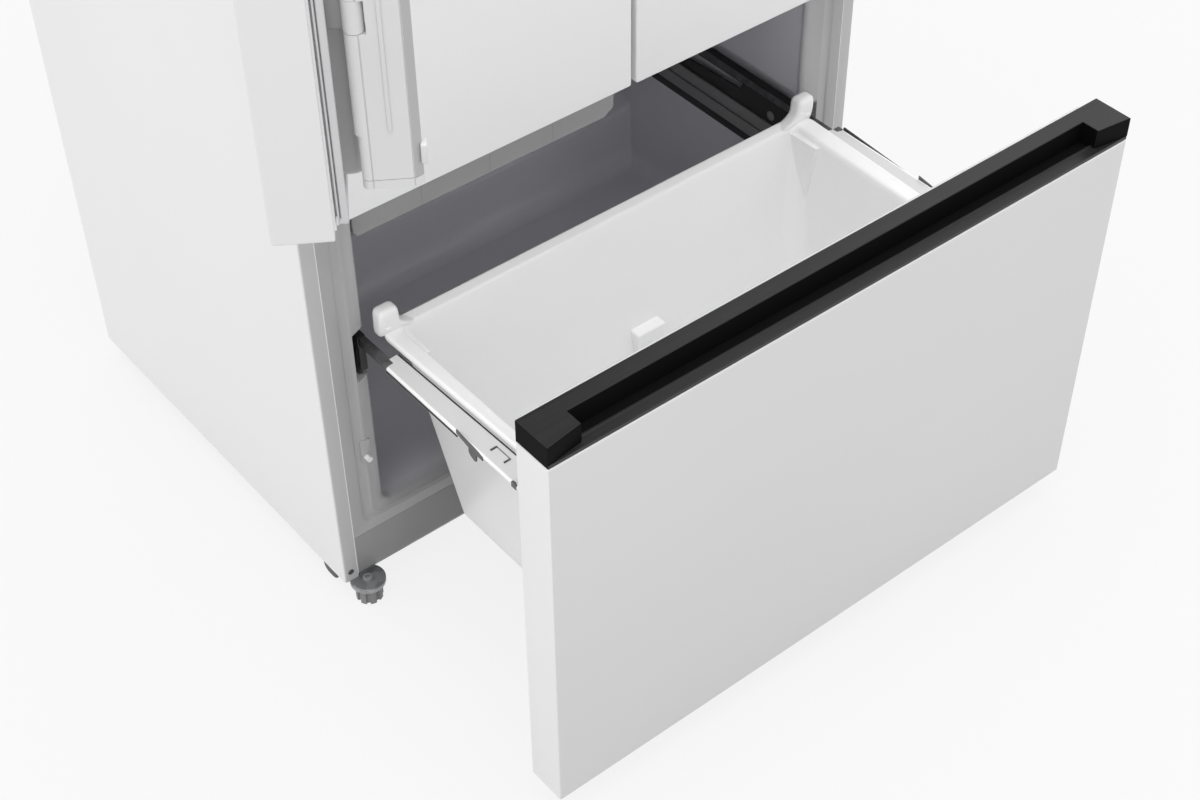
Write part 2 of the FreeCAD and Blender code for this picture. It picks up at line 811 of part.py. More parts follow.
def hinge_x(hand):
    return f"({side} - hinge_side)" if hand == "right" else f"-({side} - hinge_side)"


for hand in ("left", "right"):
    axis_x = hinge_x(hand)
    plate_x = mirrored(hand, f"{side} - hinge_side - centre_plate_width", f"{side} - 2 * liner_wall")
    keep(f"{hand}_top_hinge", joined(f"{hand}_top_hinge", [
        block(f"{hand}_top_plate", plate_x, (f"{hinge_y} - 2 * pin_radius", depth("hinge_plate * 24")),
              (roof, f"{roof} + hinge_plate")),
        rod(f"{hand}_top_pin", "Z", axis_x, hinge_y,
            (f"{rise('door_top')} - pin_depth", f"{roof} + hinge_plate"), "pin_radius"),
    ]))
    plate_bottom = rise("centre_plate_rise")
    keep(f"{hand}_centre_hinge", joined(f"{hand}_centre_hinge", [
        block(f"{hand}_centre_plate", plate_x, (f"{hinge_y} - 2 * pin_radius", front),
              (plate_bottom, f"{plate_bottom} + hinge_plate")),
        block(f"{hand}_centre_leg", plate_x, (f"{front} - hinge_plate", front),
              (plate_bottom, f"{plate_bottom} + 4 * hinge_plate")),
        rod(f"{hand}_centre_collar", "Z", axis_x, hinge_y, (plate_bottom, f"{rise('door_bottom')} - seam"),
            "collar_radius"),
        rod(f"{hand}_centre_pin", "Z", axis_x, hinge_y, (plate_bottom, f"{rise('door_bottom')} + pin_depth"),
            "pin_radius"),
    ]))

cover_half = f"({skin_half} - seam)"
keep("top_cover", without("top_cover", block(
    "top_cover_block",
    (f"-{cover_half}", cover_half),
    (f"{hinge_y} - 3 * pin_radius", depth("hinge_plate * 26")),
    (f"{roof} + seam", f"{roof} + hinge_plate * 6"),
), [block(
    "top_cover_hollow",
    (f"-({cover_half} - liner_wall)", f"{cover_half} - liner_wall"),
    (f"{hinge_y} - 3 * pin_radius + liner_wall", depth("hinge_plate * 26 - liner_wall")),
    (f"{roof} - 1", f"{roof} + hinge_plate * 6 - liner_wall"),
)]))

# Floor supports


def foot_place(hand):
    across = f"({side} - foot_side)" if hand == "right" else f"-({side} - foot_side)"
    return across, depth("0 - foot_ahead")


for hand in ("left", "right"):
    across, along = foot_place(hand)
    disc = rod(f"{hand}_disc", "Z", across, along, (f"{base} - disc_gauge", base), "disc_radius")
    arm = block(f"{hand}_arm", (f"{across} - disc_radius * 0.8", f"{across} + disc_radius * 0.8"),
                (along, f"{roller_place(hand, 'front')[1]} + cheek_half"), (f"{base} - disc_gauge", base))
    bore = rod(f"{hand}_stud_hole", "Z", across, along, (f"{base} - 2 * disc_gauge", f"{base} + disc_gauge"),
               "stud_radius + pin_play")
    wheel_room = block(
        f"{hand}_wheel_room",
        (f"{roller_place(hand, 'front')[0]} - roller_width / 2 - seam",
         f"{roller_place(hand, 'front')[0]} + roller_width / 2 + seam"),
        (f"{roller_place(hand, 'front')[1]} - roller_radius - 1",
         f"{roller_place(hand, 'front')[1]} + roller_radius + 1"),
        ("0", base),
    )
    plate = without(f"{hand}_foot_plate", joined(f"{hand}_foot_blank", [disc, arm]), [bore, wheel_room])
    keep(f"{hand}_foot_bracket", joined(f"{hand}_foot_bracket", [plate, *roller_fork(hand, "front")]))

    foot = turned(f"{hand}_foot_body", [
        ("0", "0"),
        ("foot_radius", "0"),
        ("foot_radius", "foot_height * 0.8"),
        ("foot_radius * 0.8", "foot_height"),
        ("stud_radius", "foot_height"),
        ("stud_radius", f"{base} + seam"),
        ("stud_head", f"{base} + seam"),
        ("stud_head", f"{base} + disc_gauge"),
        ("0", f"{base} + disc_gauge"),
    ])
    slots = []
    for number in range(3):
        slot = doc.addObject("Part::Box", f"{hand}_slot_{number}")
        slot.setExpression("Length", formula("2 * foot_radius + 2"))
        slot.setExpression("Width", formula("disc_gauge"))
        slot.setExpression("Height", formula("foot_height * 0.45"))
        turn = FreeCAD.Rotation(FreeCAD.Vector(0, 0, 1), 60 * number)
        slot.Placement = FreeCAD.Placement(FreeCAD.Vector(), turn)
        slots.append(slot)
    core = rod(f"{hand}_slot_core", "Z", "0", "0", ("0 - 1", "foot_height"), "foot_radius * 0.6")
    slot_ring = without(f"{hand}_slot_ring", joined(f"{hand}_slot_star", slots), [core])
    cut_foot = keep(f"{hand}_foot", without(f"{hand}_foot", foot, [slot_ring]))
    cut_foot.setExpression("Placement.Base.x", formula(across))
    cut_foot.setExpression("Placement.Base.y", formula(along))


def roller(hand, end):
    across, along, up = roller_place(hand, end)
    span = (f"{across} - roller_width / 2", f"{across} + roller_width / 2")
    wider = (f"{across} - roller_width", f"{across} + roller_width")
    return without(f"{hand}_{end}_wheel", rod(f"{hand}_{end}_tread", "X", span, along, up, "roller_radius"), [
        rod(f"{hand}_{end}_wheel_bore", "X", wider, along, up, "roller_axle + pin_play"),
    ])


for hand in ("left", "right"):
    keep(f"{hand}_front_roller", roller(hand, "front"))
rear_pair = doc.addObject("Part::Compound", "rear_rollers")
rear_pair.Links = [roller(hand, "rear") for hand in ("left", "right")]
keep("rear_rollers", rear_pair)

# Drawer switch on the left of the freezer mouth

switch_x = f"-({side} - switch_side)"
plunger_z = f"({rise('switch_rise')} - plunger_drop)"
keep("switch_housing", without("switch_housing", switch_pocket("switch_case", "0"), [
    rod("plunger_bore", "Y", switch_x, (depth("0 - 1"), depth("plunger_in + plunger_out")), plunger_z,
        "plunger_radius + plunger_play"),
]))
keep("switch_plunger", rod("switch_plunger", "Y", switch_x, (depth("0 - plunger_out"), depth("plunger_in")),
                           plunger_z, "plunger_radius"))

# Freezer drawer on its slides

rail_back = depth("rail_start + rail_length")


def rail_points(hand, points):
    sign = 1 if hand == "right" else -1
    return [(f"{sign} * ({across})", rise(f"({up})")) for across, up in points]


for hand in ("left", "right"):
    channel = prism(f"{hand}_channel", "XZ", rail_points(hand, [
        (cavity, "rail_bottom"),
        (cavity, "rail_top"),
        (f"{cavity} - rail_reach", "rail_top"),
        (f"{cavity} - rail_reach", "rail_top - rail_lip"),
        (f"{cavity} - rail_web", "rail_top - rail_lip"),
        (f"{cavity} - rail_web", "rail_bottom + rail_lip"),
        (f"{cavity} - rail_reach", "rail_bottom + rail_lip"),
        (f"{cavity} - rail_reach", "rail_bottom"),
    ]), (depth("rail_start"), rail_back))
    bracket = block(
        f"{hand}_wall_bracket",
        mirrored(hand, f"{cavity} - rail_web", cavity),
        (depth("rail_start"), depth("rail_start + bracket_length")),
        (rise("bracket_bottom"), rise("bracket_top")),
    )
    keep(f"{hand}_slide_outer", joined(f"{hand}_slide_outer", [channel, bracket]))

    middle = keep(f"{hand}_slide_middle", prism(f"{hand}_slide_middle", "XZ", rail_points(hand, [
        (f"{cavity} - rail_web - rail_play", "rail_bottom + rail_lip + rail_play"),
        (f"{cavity} - rail_web - rail_play", "rail_top - rail_lip - rail_play"),
        (f"{cavity} - rail_reach", "rail_top - rail_lip - rail_play"),
        (f"{cavity} - rail_reach", "rail_bottom + rail_lip + rail_play"),
    ]), (depth("rail_start"), rail_back)))
    pulled(middle, "freezer_pull / 2")

    flange_low = "rail_top + rail_play"
    flange_high = f"{flange_low} + runner_flange"
    web_out = f"{cavity} - rail_reach - rail_play"
    runner = keep(f"{hand}_slide_inner", prism(f"{hand}_slide_inner", "XZ", rail_points(hand, [
        ("runner_flange_inner", flange_low),
        (f"{web_out} - runner_web", flange_low),
        (f"{web_out} - runner_web", "rail_bottom + rail_lip"),
        (web_out, "rail_bottom + rail_lip"),
        (web_out, flange_low),
        (f"{cavity} - rail_web - 2 * rail_play", flange_low),
        (f"{cavity} - rail_web - 2 * rail_play", flange_high),
        ("runner_flange_inner", flange_high),
    ]), (inner_face, depth("runner_length"))))
    pulled(runner, "freezer_pull")


def front_pan(name, x, z, y=(outer_face, f"{inner_face} - skin_setback")):
    # a folded sheet pan, open at the back
    return without(name, block(f"{name}_block", x, y, z), [block(
        f"{name}_hollow",
        (f"{x[0]} + front_skin", f"{x[1]} - front_skin"),
        (f"{y[0]} + front_skin", f"{y[1]} + 1"),
        (f"{z[0]} + front_skin", f"{z[1]} - front_skin"),
    )])


def ring(name, x, y, z):
    # a four-sided seal of the gasket's width
    return without(name, block(f"{name}_block", x, y, z), [block(
        f"{name}_hole",
        (f"{x[0]} + gasket_width", f"{x[1]} - gasket_width"),
        (f"{y[0]} - 1", f"{y[1]} + 1"),
        (f"{z[0]} + gasket_width", f"{z[1]} - gasket_width"),
    )])


def drawer_core(name, x, z, panel_top):
    # the foamed core, with the inner panel that also backs the handle
    inside = (f"{x[0]} + front_skin", f"{x[1]} - front_skin")
    return joined(name, [
        block(f"{name}_foam", inside, (f"{outer_face} + front_skin", inner_face),
              (f"{z[0]} + front_skin", f"{z[1]} - front_skin")),
        block(f"{name}_panel", inside, (f"{inner_face} - skin_setback", inner_face),
              (f"{z[0]} + front_skin", panel_top)),
    ])


def drawer_handle(name, x, z):
    # a trim along the top edge with a finger pocket, open to the front and top
    back_edge = f"{inner_face} - skin_setback"
    return without(name, block(f"{name}_bar", x, (outer_face, back_edge), z), [block(
        f"{name}_pocket",
        (f"{x[0]} + handle_end", f"{x[1]} - handle_end"),
        (f"{outer_face} - 1", f"{back_edge} - handle_back"),
        (f"{z[0]} + handle_floor", f"{z[1]} + 1"),
    )])


seal_y = (inner_face, f"{front} - gasket_relief")
freezer_front_z = (rise("freezer_front_bottom"), rise("freezer_front_top"))
freezer_handle_z = (freezer_front_z[1], f"({freezer_front_z[1]} + handle_height)")
full_x = (f"-{side}", side)
drawer_pieces = [
    keep("freezer_front", front_pan("freezer_front", full_x, freezer_front_z)),
    keep("freezer_core", drawer_core("freezer_core", full_x, freezer_front_z, freezer_handle_z[1])),
    keep("freezer_handle", drawer_handle("freezer_handle", full_x, freezer_handle_z)),
    keep("freezer_gasket", ring(
        "freezer_gasket",
        (f"-({side} - gasket_inset)", f"{side} - gasket_inset"),
        seal_y,
        (rise("freezer_gasket_bottom"), f"{freezer_handle_z[1]} - gasket_inset"),
    )),
]


def edges_where(shape, wanted):
    return [f"Edge{number}" for number, edge in enumerate(shape.Edges, start=1) if wanted(edge)]


def faces_where(shape, wanted):
    return [f"Face{number}" for number, face in enumerate(shape.Faces, start=1) if wanted(face)]


# The tub is a tapered body: the wedge narrows along its own Y, which the body's turn makes vertical
tub_shell = doc.addObject("PartDesign::Body", "tub_shell")
tub_shell.Placement = FreeCAD.Placement(FreeCAD.Vector(), FreeCAD.Rotation(FreeCAD.Vector(1, 0, 0), 90))
tub_taper = tub_shell.newObject("PartDesign::AdditiveWedge", "tub_taper")
tub_places = {
    "Xmin": "-tub_half_low",
    "Xmax": "tub_half_low",
    "Zmin": f"-{depth('tub_back_low')}",
    "Zmax": f"-{depth('tub_front_low')}",
    "X2min": "-(tub_half + tub_wall)",
    "X2max": "tub_half + tub_wall",
    "Z2min": f"-{depth('tub_back + tub_wall')}",
    "Z2max": f"-{depth('tub_front - tub_wall')}",
    "Ymin": rise("tub_bottom"),
    "Ymax": rise("tub_rim"),
}
for place, text in tub_places.items():
    tub_taper.setExpression(place, formula(text))
doc.recompute()
tub_high = max(vertex.Y for vertex in tub_taper.Shape.Vertexes)
tub_rounds = tub_shell.newObject("PartDesign::Fillet", "tub_rounds")
tub_rounds.Base = (tub_taper, edges_where(
    tub_taper.Shape, lambda edge: min(vertex.Y for vertex in edge.Vertexes) < tub_high - 1))
tub_rounds.setExpression("Radius", formula("tub_round"))
doc.recompute()
tub_skin = tub_shell.newObject("PartDesign::Thickness", "tub_skin")
tub_skin.Base = (tub_rounds, faces_where(
    tub_rounds.Shape, lambda face: min(vertex.Y for vertex in face.Vertexes) > tub_high - 1))
tub_skin.setExpression("Value", formula("tub_wall"))
tub_skin.Reversed = True
tub_shell.Tip = tub_skin
doc.recompute()

rim_z = (rise(flange_high), rise("tub_rim"))
rim_half = "(runner_flange_inner + tub_wall)"
tub_rims = []
for hand in ("left", "right"):
    tub_rims.append(block(f"{hand}_rim", mirrored(hand, "tub_half + tub_wall / 2", rim_half),
                          (depth("tub_front"), depth("tub_back + tub_wall")), rim_z))
    tub_rims.append(block(f"{hand}_post", mirrored(hand, "post_inner", "post_inner + post_width"),
                          (depth("tub_back - post_depth / 2"), depth("tub_back + post_depth / 2")),
                          (rim_z[0], f"{rim_z[1]} + post_height")))
tub_rims.append(block("rear_rim", (f"-{rim_half}", rim_half),
                      (depth("tub_back + tub_wall / 2"), depth("tub_back + post_depth / 2")), rim_z))
drawer_pieces.append(keep("freezer_tub", joined("freezer_tub", [tub_shell, *tub_rims])))
for piece in drawer_pieces:
    pulled(piece, "freezer_pull")

# Middle drawers


def pantry_drawer(hand):
    x = mirrored(hand, "centre_gap / 2", side)
    z = (rise("pantry_front_bottom"), rise("pantry_front_top"))
    handle_z = (z[1], f"({z[1]} + handle_height)")
    seal_x = mirrored(hand, "centre_gap / 2 + gasket_free_inset", f"{side} - gasket_inset")
    keep(f"{hand}_pantry_front", joined(f"{hand}_pantry_front", [
        front_pan(f"{hand}_pantry_pan", x, z),
        drawer_core(f"{hand}_pantry_core", x, z, handle_z[1]),
    ]))
    keep(f"{hand}_pantry_handle", drawer_handle(f"{hand}_pantry_handle", x, handle_z))
    keep(f"{hand}_pantry_gasket", ring(
        f"{hand}_pantry_gasket", seal_x, seal_y, (f"{z[0]} + gasket_inset", f"{handle_z[1]} - gasket_inset")))
    inset = "(runner_depth + box_clearance)"
    room = right_x if hand == "right" else left_x
    box_x = (f"({room[0]} + {inset})", f"({room[1]} - {inset})")
    box_y = (inner_face, depth("box_depth"))
    box_z = (rise("box_bottom"), rise("box_top"))
    lip_z = (rise("runner_rise"), f"{rise('runner_rise')} + runner_height")
    tray = without(f"{hand}_pantry_tray", block(f"{hand}_tray_block", box_x, box_y, box_z), [block(
        f"{hand}_tray_hollow",
        (f"{box_x[0]} + box_wall", f"{box_x[1]} - box_wall"),
        (f"{box_y[0]} + box_wall", f"{box_y[1]} - box_wall"),
        (f"{box_z[0]} + box_wall", f"{box_z[1]} + 1"),
    )])
    lip_y = (depth("mouth_depth"), box_y[1])
    keep(f"{hand}_pantry_box", joined(f"{hand}_pantry_box", [
        tray,
        block(f"{hand}_lip_low", (f"{room[0]} + 2 * seam", box_x[0]), lip_y, lip_z),
        block(f"{hand}_lip_high", (box_x[1], f"{room[1]} - 2 * seam"), lip_y, lip_z),
    ]))


for hand in ("left", "right"):
    pantry_drawer(hand)

# Doors, made around their hinge axes

door_front = "-hinge_inset"
door_back = "(front_thickness - hinge_inset)"
free_edge = f"({door_width} - hinge_side)"
door_z = (rise("door_bottom"), rise("door_top"))


def swing(hand, low, high):
    # a span from the hinge towards the door's free edge
    return (low, high) if hand == "left" else (f"-({high})", f"-({low})")


def pin_bores(name):
    radius = "pin_radius + pin_play"
    return [
        rod(f"{name}_low_bore", "Z", "0", "0", (f"{door_z[0]} - 1", f"{door_z[0]} + pin_depth + 1"), radius),
        rod(f"{name}_high_bore", "Z", "0", "0", (f"{door_z[1]} - pin_depth - 1", f"{door_z[1]} + 1"), radius),
    ]


flipper_x = (f"({free_edge} - flipper_setback - flipper_thickness)", f"({free_edge} - flipper_setback)")
flipper_y = (f"({door_back} + flipper_gap)", f"({door_back} + flipper_gap + flipper_width)")
flipper_axis = (f"({flipper_x[0]} + flipper_thickness / 2)", f"({flipper_y[0]} + flipper_thickness / 2)")
ear_heights = ("ear_low", "ear_high")


def ears():
    # two bearing blocks that carry the folding bar
    pieces = []
    for height in ear_heights:
        pieces.append(without(f"{height}_bearing", block(
            f"{height}_block",
            (f"{flipper_axis[0]} - ear_half", f"{flipper_axis[0]} + ear_half"),
            (f"{door_back} - front_skin", f"{flipper_axis[1]} + ear_half"),
            (f"{rise(height)} - ear_height / 2", f"{rise(height)} + ear_height / 2"),
        ), [rod(
            f"{height}_bore", "Z", *flipper_axis,
            (f"{rise(height)} - ear_height", f"{rise(height)} + ear_height"), "ear_pin + pin_play",
        )]))
    return pieces


def dyke(hand):
    # a raised wall on the inner panel, round the bin and inside the seal
    x = swing(hand, "dyke_hinge_inset", f"{free_edge} - dyke_free_inset")
    y = (f"{door_back} - front_skin", f"{door_back} + dyke_depth")
    z = (f"{door_z[0]} + dyke_foot_gap", f"{door_z[1]} - dyke_head_gap")
    return without(f"{hand}_dyke", block(f"{hand}_dyke_block", x, y, z), [block(
        f"{hand}_dyke_hole",
        (f"{x[0]} + dyke_width", f"{x[1]} - dyke_width"),
        (f"{y[0]} - 1", f"{y[1]} + 1"),
        (f"{z[0]} + dyke_width", f"{z[1]} - dyke_width"),
    )])


def door(hand, opening=None):
    x = swing(hand, "-hinge_side", free_edge)
    inside = (f"{x[0]} + front_skin", f"{x[1]} - front_skin")
    pan = front_pan(f"{hand}_door_pan", x, door_z, (door_front, f"{door_back} - skin_setback"))
    skin = without(f"{hand}_door_skin", pan, pin_bores(f"{hand}_skin"))
    foam = without(f"{hand}_door_foam", block(
        f"{hand}_door_block", inside, (f"{door_front} + front_skin", door_back),
        (f"{door_z[0]} + front_skin", f"{door_z[1]} - front_skin")), pin_bores(f"{hand}_foam"))
    liner = joined(f"{hand}_door_liner", [foam, dyke(hand), *(ears() if opening else [])])
    seal = ring(
        f"{hand}_door_gasket",
        swing(hand, "gasket_inset - hinge_side", f"{free_edge} - gasket_free_inset"),
        (door_back, f"{door_back} + front_gap - gasket_relief"),
        (f"{door_z[0]} + gasket_inset", f"{door_z[1]} - gasket_inset"),
    )
    bin_x = swing(hand, "bin_inset", f"{free_edge} - bin_inset")
    bin_y = (door_back, f"{door_back} + bin_depth")
    bin_z = (rise("bin_rise"), f"{rise('bin_rise')} + bin_height")
    rack = without(f"{hand}_door_bin", block(f"{hand}_bin_block", bin_x, bin_y, bin_z), [block(
        f"{hand}_bin_hollow",
        (f"{bin_x[0]} + bin_wall", f"{bin_x[1]} - bin_wall"),
        (f"{bin_y[0]} + bin_wall", f"{bin_y[1]} - bin_wall"),
        (f"{bin_z[0]} + bin_wall", f"{bin_z[1]} + 1"),
    )])
    for part, piece in (("skin", skin), ("liner", liner), ("gasket", seal), ("bin", rack)):
        keep(f"{hand}_door_{part}", piece)
        hung(piece, hand, opening)


door("left", "left_door_angle")
door("right")

flipper_bar = rounded(prism("flipper_bar", "XY", [
    (flipper_x[0], flipper_y[0]),
    (flipper_x[1], flipper_y[0]),
    (flipper_x[1], flipper_y[1]),
    (flipper_x[0], flipper_y[1]),
], (rise("flipper_bottom"), rise("flipper_top"))), "Z", "flipper_round")
notches = []
pins = []
for height in ear_heights:
    reach = "(ear_height / 2 + ear_play)"
    notches.append(block(
        f"{height}_notch",
        (f"{flipper_x[0]} - ear_play", f"{flipper_x[1]} + ear_play"),
        (f"{flipper_y[0]} - ear_play", f"{flipper_y[0]} + flipper_thickness + 3 * ear_play"),
        (f"{rise(height)} - {reach}", f"{rise(height)} + {reach}"),
    ))
    span = (f"{rise(height)} - {reach} - ear_play", f"{rise(height)} + {reach} + ear_play")
    pins.append(rod(f"{height}_pin", "Z", *flipper_axis, span, "ear_pin"))
flipper = keep("flipper", joined("flipper", [without("flipper_notched", flipper_bar, notches), *pins]))
hung(flipper, "left", "left_door_angle")

# Check every object, then write one file per piece

doc.recompute()
for item in doc.Objects:
    bad = [state for state in item.State if state in ("Invalid", "Error")]
    if bad:
        raise RuntimeError(f"{item.Label}: {bad}")
for label, piece in nodes.items():
    if piece.Shape.isNull() or not piece.Shape.isValid() or piece.Shape.Volume <= 0:
        raise RuntimeError(f"{label} has no valid shape")
os.makedirs("parts", exist_ok=True)
for label, piece in nodes.items():
    piece.Shape.exportStep(f"parts/{label}.step")
print(f"{len(nodes)} pieces written")
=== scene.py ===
import json
import math

import bmesh
import bpy
import numpy as np
from mathutils import Matrix, Vector


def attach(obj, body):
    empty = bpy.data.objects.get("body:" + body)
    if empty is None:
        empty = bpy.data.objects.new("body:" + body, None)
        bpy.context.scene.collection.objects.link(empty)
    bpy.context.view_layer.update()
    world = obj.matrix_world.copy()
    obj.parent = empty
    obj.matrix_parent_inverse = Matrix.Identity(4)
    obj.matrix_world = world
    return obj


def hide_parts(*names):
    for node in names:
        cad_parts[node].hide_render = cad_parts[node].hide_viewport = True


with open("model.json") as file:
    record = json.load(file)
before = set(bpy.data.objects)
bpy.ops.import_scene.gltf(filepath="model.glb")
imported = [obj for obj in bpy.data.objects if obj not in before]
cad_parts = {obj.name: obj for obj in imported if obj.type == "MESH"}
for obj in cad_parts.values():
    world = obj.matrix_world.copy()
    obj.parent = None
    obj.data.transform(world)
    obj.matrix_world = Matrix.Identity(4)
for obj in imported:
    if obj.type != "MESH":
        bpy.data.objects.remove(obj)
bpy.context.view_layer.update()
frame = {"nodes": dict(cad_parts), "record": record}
nodes = frame["nodes"]
mm = 0.001

# Camera, solved from the straight edges in the photograph
photoView = {
    "place": (-1.3346, -2.0036, 2.1281),     # metres
    "right": (0.77705, -0.62938, -0.00786),  # the picture's right and down, in the room
    "down": (-0.44364, -0.53879, -0.71617),
    "focal": 2032.1,                         # pixels
    "centre": (601.9, 432.7),
    "picture": (1200, 800),
}


def addCamera(view):
    data = bpy.data.cameras.new("photoCamera")
    width, height = view["picture"]
    data.sensor_fit = "HORIZONTAL"
    data.sensor_width = 36
    data.lens = view["focal"] * data.sensor_width / width
    data.shift_x = (width / 2 - view["centre"][0]) / width
    data.shift_y = (view["centre"][1] - height / 2) / width
    data.clip_end = 60
    camera = bpy.data.objects.new("photoCamera", data)
    right, down = Vector(view["right"]).normalized(), Vector(view["down"]).normalized()
    turn = Matrix((right, -down, -right.cross(down))).transposed()
    camera.matrix_world = Matrix.Translation(view["place"]) @ turn.to_4x4()
    bpy.context.scene.collection.objects.link(camera)
    bpy.context.scene.camera = camera


addCamera(photoView)
bpy.context.scene.view_settings.view_transform = "Standard"
print("camera placed")


# Node building: a socket that takes part in sums, and a finish that makes nodes
class Wire:
    def __init__(self, finish, socket):
        self.finish, self.socket = finish, socket

    def sum(self, operation, first, second):
        return self.finish.node("Math", {"operation": operation}, {0: first, 1: second})

    def __add__(self, other):
        return self.sum("ADD", self, other)

    def __sub__(self, other):
        return self.sum("SUBTRACT", self, other)

    def __rsub__(self, other):
        return self.sum("SUBTRACT", other, self)

    def __mul__(self, other):
        return self.sum("MULTIPLY", self, other)

    def __gt__(self, other):
        return self.sum("GREATER_THAN", self, other)

    def __lt__(self, other):
        return self.sum("LESS_THAN", self, other)

    __radd__ = __add__
    __rmul__ = __mul__


class Finish:
    def __init__(self, name, holder=None):
        self.holder = holder or bpy.data.materials.new(name)
        self.holder.use_nodes = True
        self.tree = self.holder.node_tree
        self.tree.nodes.clear()

    def node(self, kind, settings=None, sockets=None, out=0):
        made = self.tree.nodes.new("ShaderNode" + kind)
        for name, value in (settings or {}).items():
            setattr(made, name, value)
        for name, value in (sockets or {}).items():
            if isinstance(value, Wire):
                self.tree.links.new(value.socket, made.inputs[name])
            else:
                made.inputs[name].default_value = value
        return Wire(self, made.outputs[out]) if made.outputs else None

    def place(self, stretch=(1, 1, 1)):    # object coordinates, in metres, stretched along the axes
        spot = self.node("TexCoord", out="Object")
        return self.node("Mapping", {"vector_type": "POINT"}, {"Vector": spot, "Scale": stretch})

    def noise(self, spot, scale, detail=2, rough=0.5):
        return self.node("TexNoise", {}, {"Vector": spot, "Scale": scale, "Detail": detail, "Roughness": rough})

    def along(self, axis, low, high):    # 0 at low and 1 at high along one axis, in metres
        spot = self.node("TexCoord", out="Object")
        value = self.node("SeparateXYZ", {}, {"Vector": spot}, out=axis)
        return self.node("MapRange", {"clamp": True}, {"Value": value, "From Min": low, "From Max": high})

    def colours(self, share, low, high):    # low where share is 0, high where it is 1
        sockets = {"Factor": share, 6: (*low, 1), 7: (*high, 1)}
        return self.node("Mix", {"data_type": "RGBA", "clamp_factor": True}, sockets, out=2)

    def tones(self, share, low, high, front, fade):
        # low to high by share; front is a place along Y and a greyer pair that holds ahead of it, painted shade on what
        # lies at the front
        colour = self.colours(share, low, high)
        if front:
            behind = self.along("Y", front[0], front[0] + fade)
            paintedShade = self.colours(share, *front[1:])
            colour = self.node("Mix", {"data_type": "RGBA"}, {"Factor": behind, 6: paintedShade, 7: colour}, out=2)
        return colour

    def bump(self, height, strength, distance):
        return self.node("Bump", {}, {"Height": height, "Strength": strength, "Distance": distance})

    def shade(self, settings):    # the principled shader and the output
        surface = self.node("BsdfPrincipled", {}, settings)
        self.node("OutputMaterial", {}, {"Surface": surface})
        return self.holder


def paintedFinish(name, low, high, rough, peel, front=None):
    # sheet paint: broad faint clouds in the colour, fine orange peel in the surface, and painted shade ahead of front
    # if it is given
    finish = Finish(name)
    spot = finish.place()
    cloud = finish.noise(spot, 1.7, 3)
    grain = finish.noise(spot, 700, 2)
    return finish.shade({
        "Base Color": finish.tones(cloud, low, high, front, 0.0012),
        "Roughness": rough + grain * 0.08,
        "Normal": finish.bump(grain, peel, 0.0002),
        "Specular IOR Level": 0.45,
    })


def mouldedFinish(name, low, high, rough, front=None, shine=0.45):
    # moulded plastic: flow clouds in the colour, a fine even grain, a few softer patches of gloss, and painted shade
    # ahead of front if it is given
    finish = Finish(name)
    spot = finish.place()
    flow = finish.noise(finish.place((1, 1, 2.5)), 3.1, 3)
    patch = finish.noise(spot, 9, 2)
    grain = finish.noise(spot, 1400, 1)
    return finish.shade({
        "Base Color": finish.tones(flow, low, high, front, 0.03),
        "Roughness": rough - 0.06 + patch * 0.12,
        "Normal": finish.bump(grain, 0.03, 0.0002),
        "Specular IOR Level": shine,
    })


def brushedFinish(name, low, high, rough, metallic, along):
    # brushed metal: fine streaks that run along one axis
    finish = Finish(name)
    across = {"X": (3, 900, 900), "Y": (900, 3, 900), "Z": (900, 900, 3)}[along]
    streak = finish.noise(finish.place(across), 1, 3, 0.65)
    broad = finish.noise(finish.place(tuple(v / 12 for v in across)), 1, 2)
    return finish.shade({
        "Base Color": finish.colours(streak * 0.7 + broad * 0.3, low, high),
        "Roughness": rough - 0.1 + streak * 0.2,
        "Metallic": metallic,
        "Normal": finish.bump(streak, 0.08, 0.0002),
    })


def zincFinish(name, low, high, rough):
    # zinc coat: crystal flakes of several tones
    finish = Finish(name)
    spot = finish.place()
    flake = finish.node("TexVoronoi", {"feature": "F1"}, {"Vector": spot, "Scale": 90}, out="Color")
    tone = finish.node("SeparateColor", {}, {"Color": flake}, out="Red")
    haze = finish.noise(spot, 6, 3)
    return finish.shade({
        "Base Color": finish.colours(tone * 0.6 + haze * 0.4, low, high),
        "Roughness": rough + tone * 0.12,
        "Metallic": 0.85,
        "Normal": finish.bump(tone, 0.02, 0.0003),
    })


def clearFinish(name, tint, rough, index):
    # see-through sheet: nearly colourless, with faint ripples
    finish = Finish(name)
    ripple = finish.noise(finish.place(), 14, 2)
    return finish.shade({
        "Base Color": (*tint, 1),
        "Roughness": rough + ripple * 0.03,
        "Transmission Weight": 1.0,
        "IOR": index,
        "Normal": finish.bump(ripple, 0.03, 0.002),
    })


def grey(level, blue=0):    # an even tone, or one with a little more blue
    return level, level, level + blue


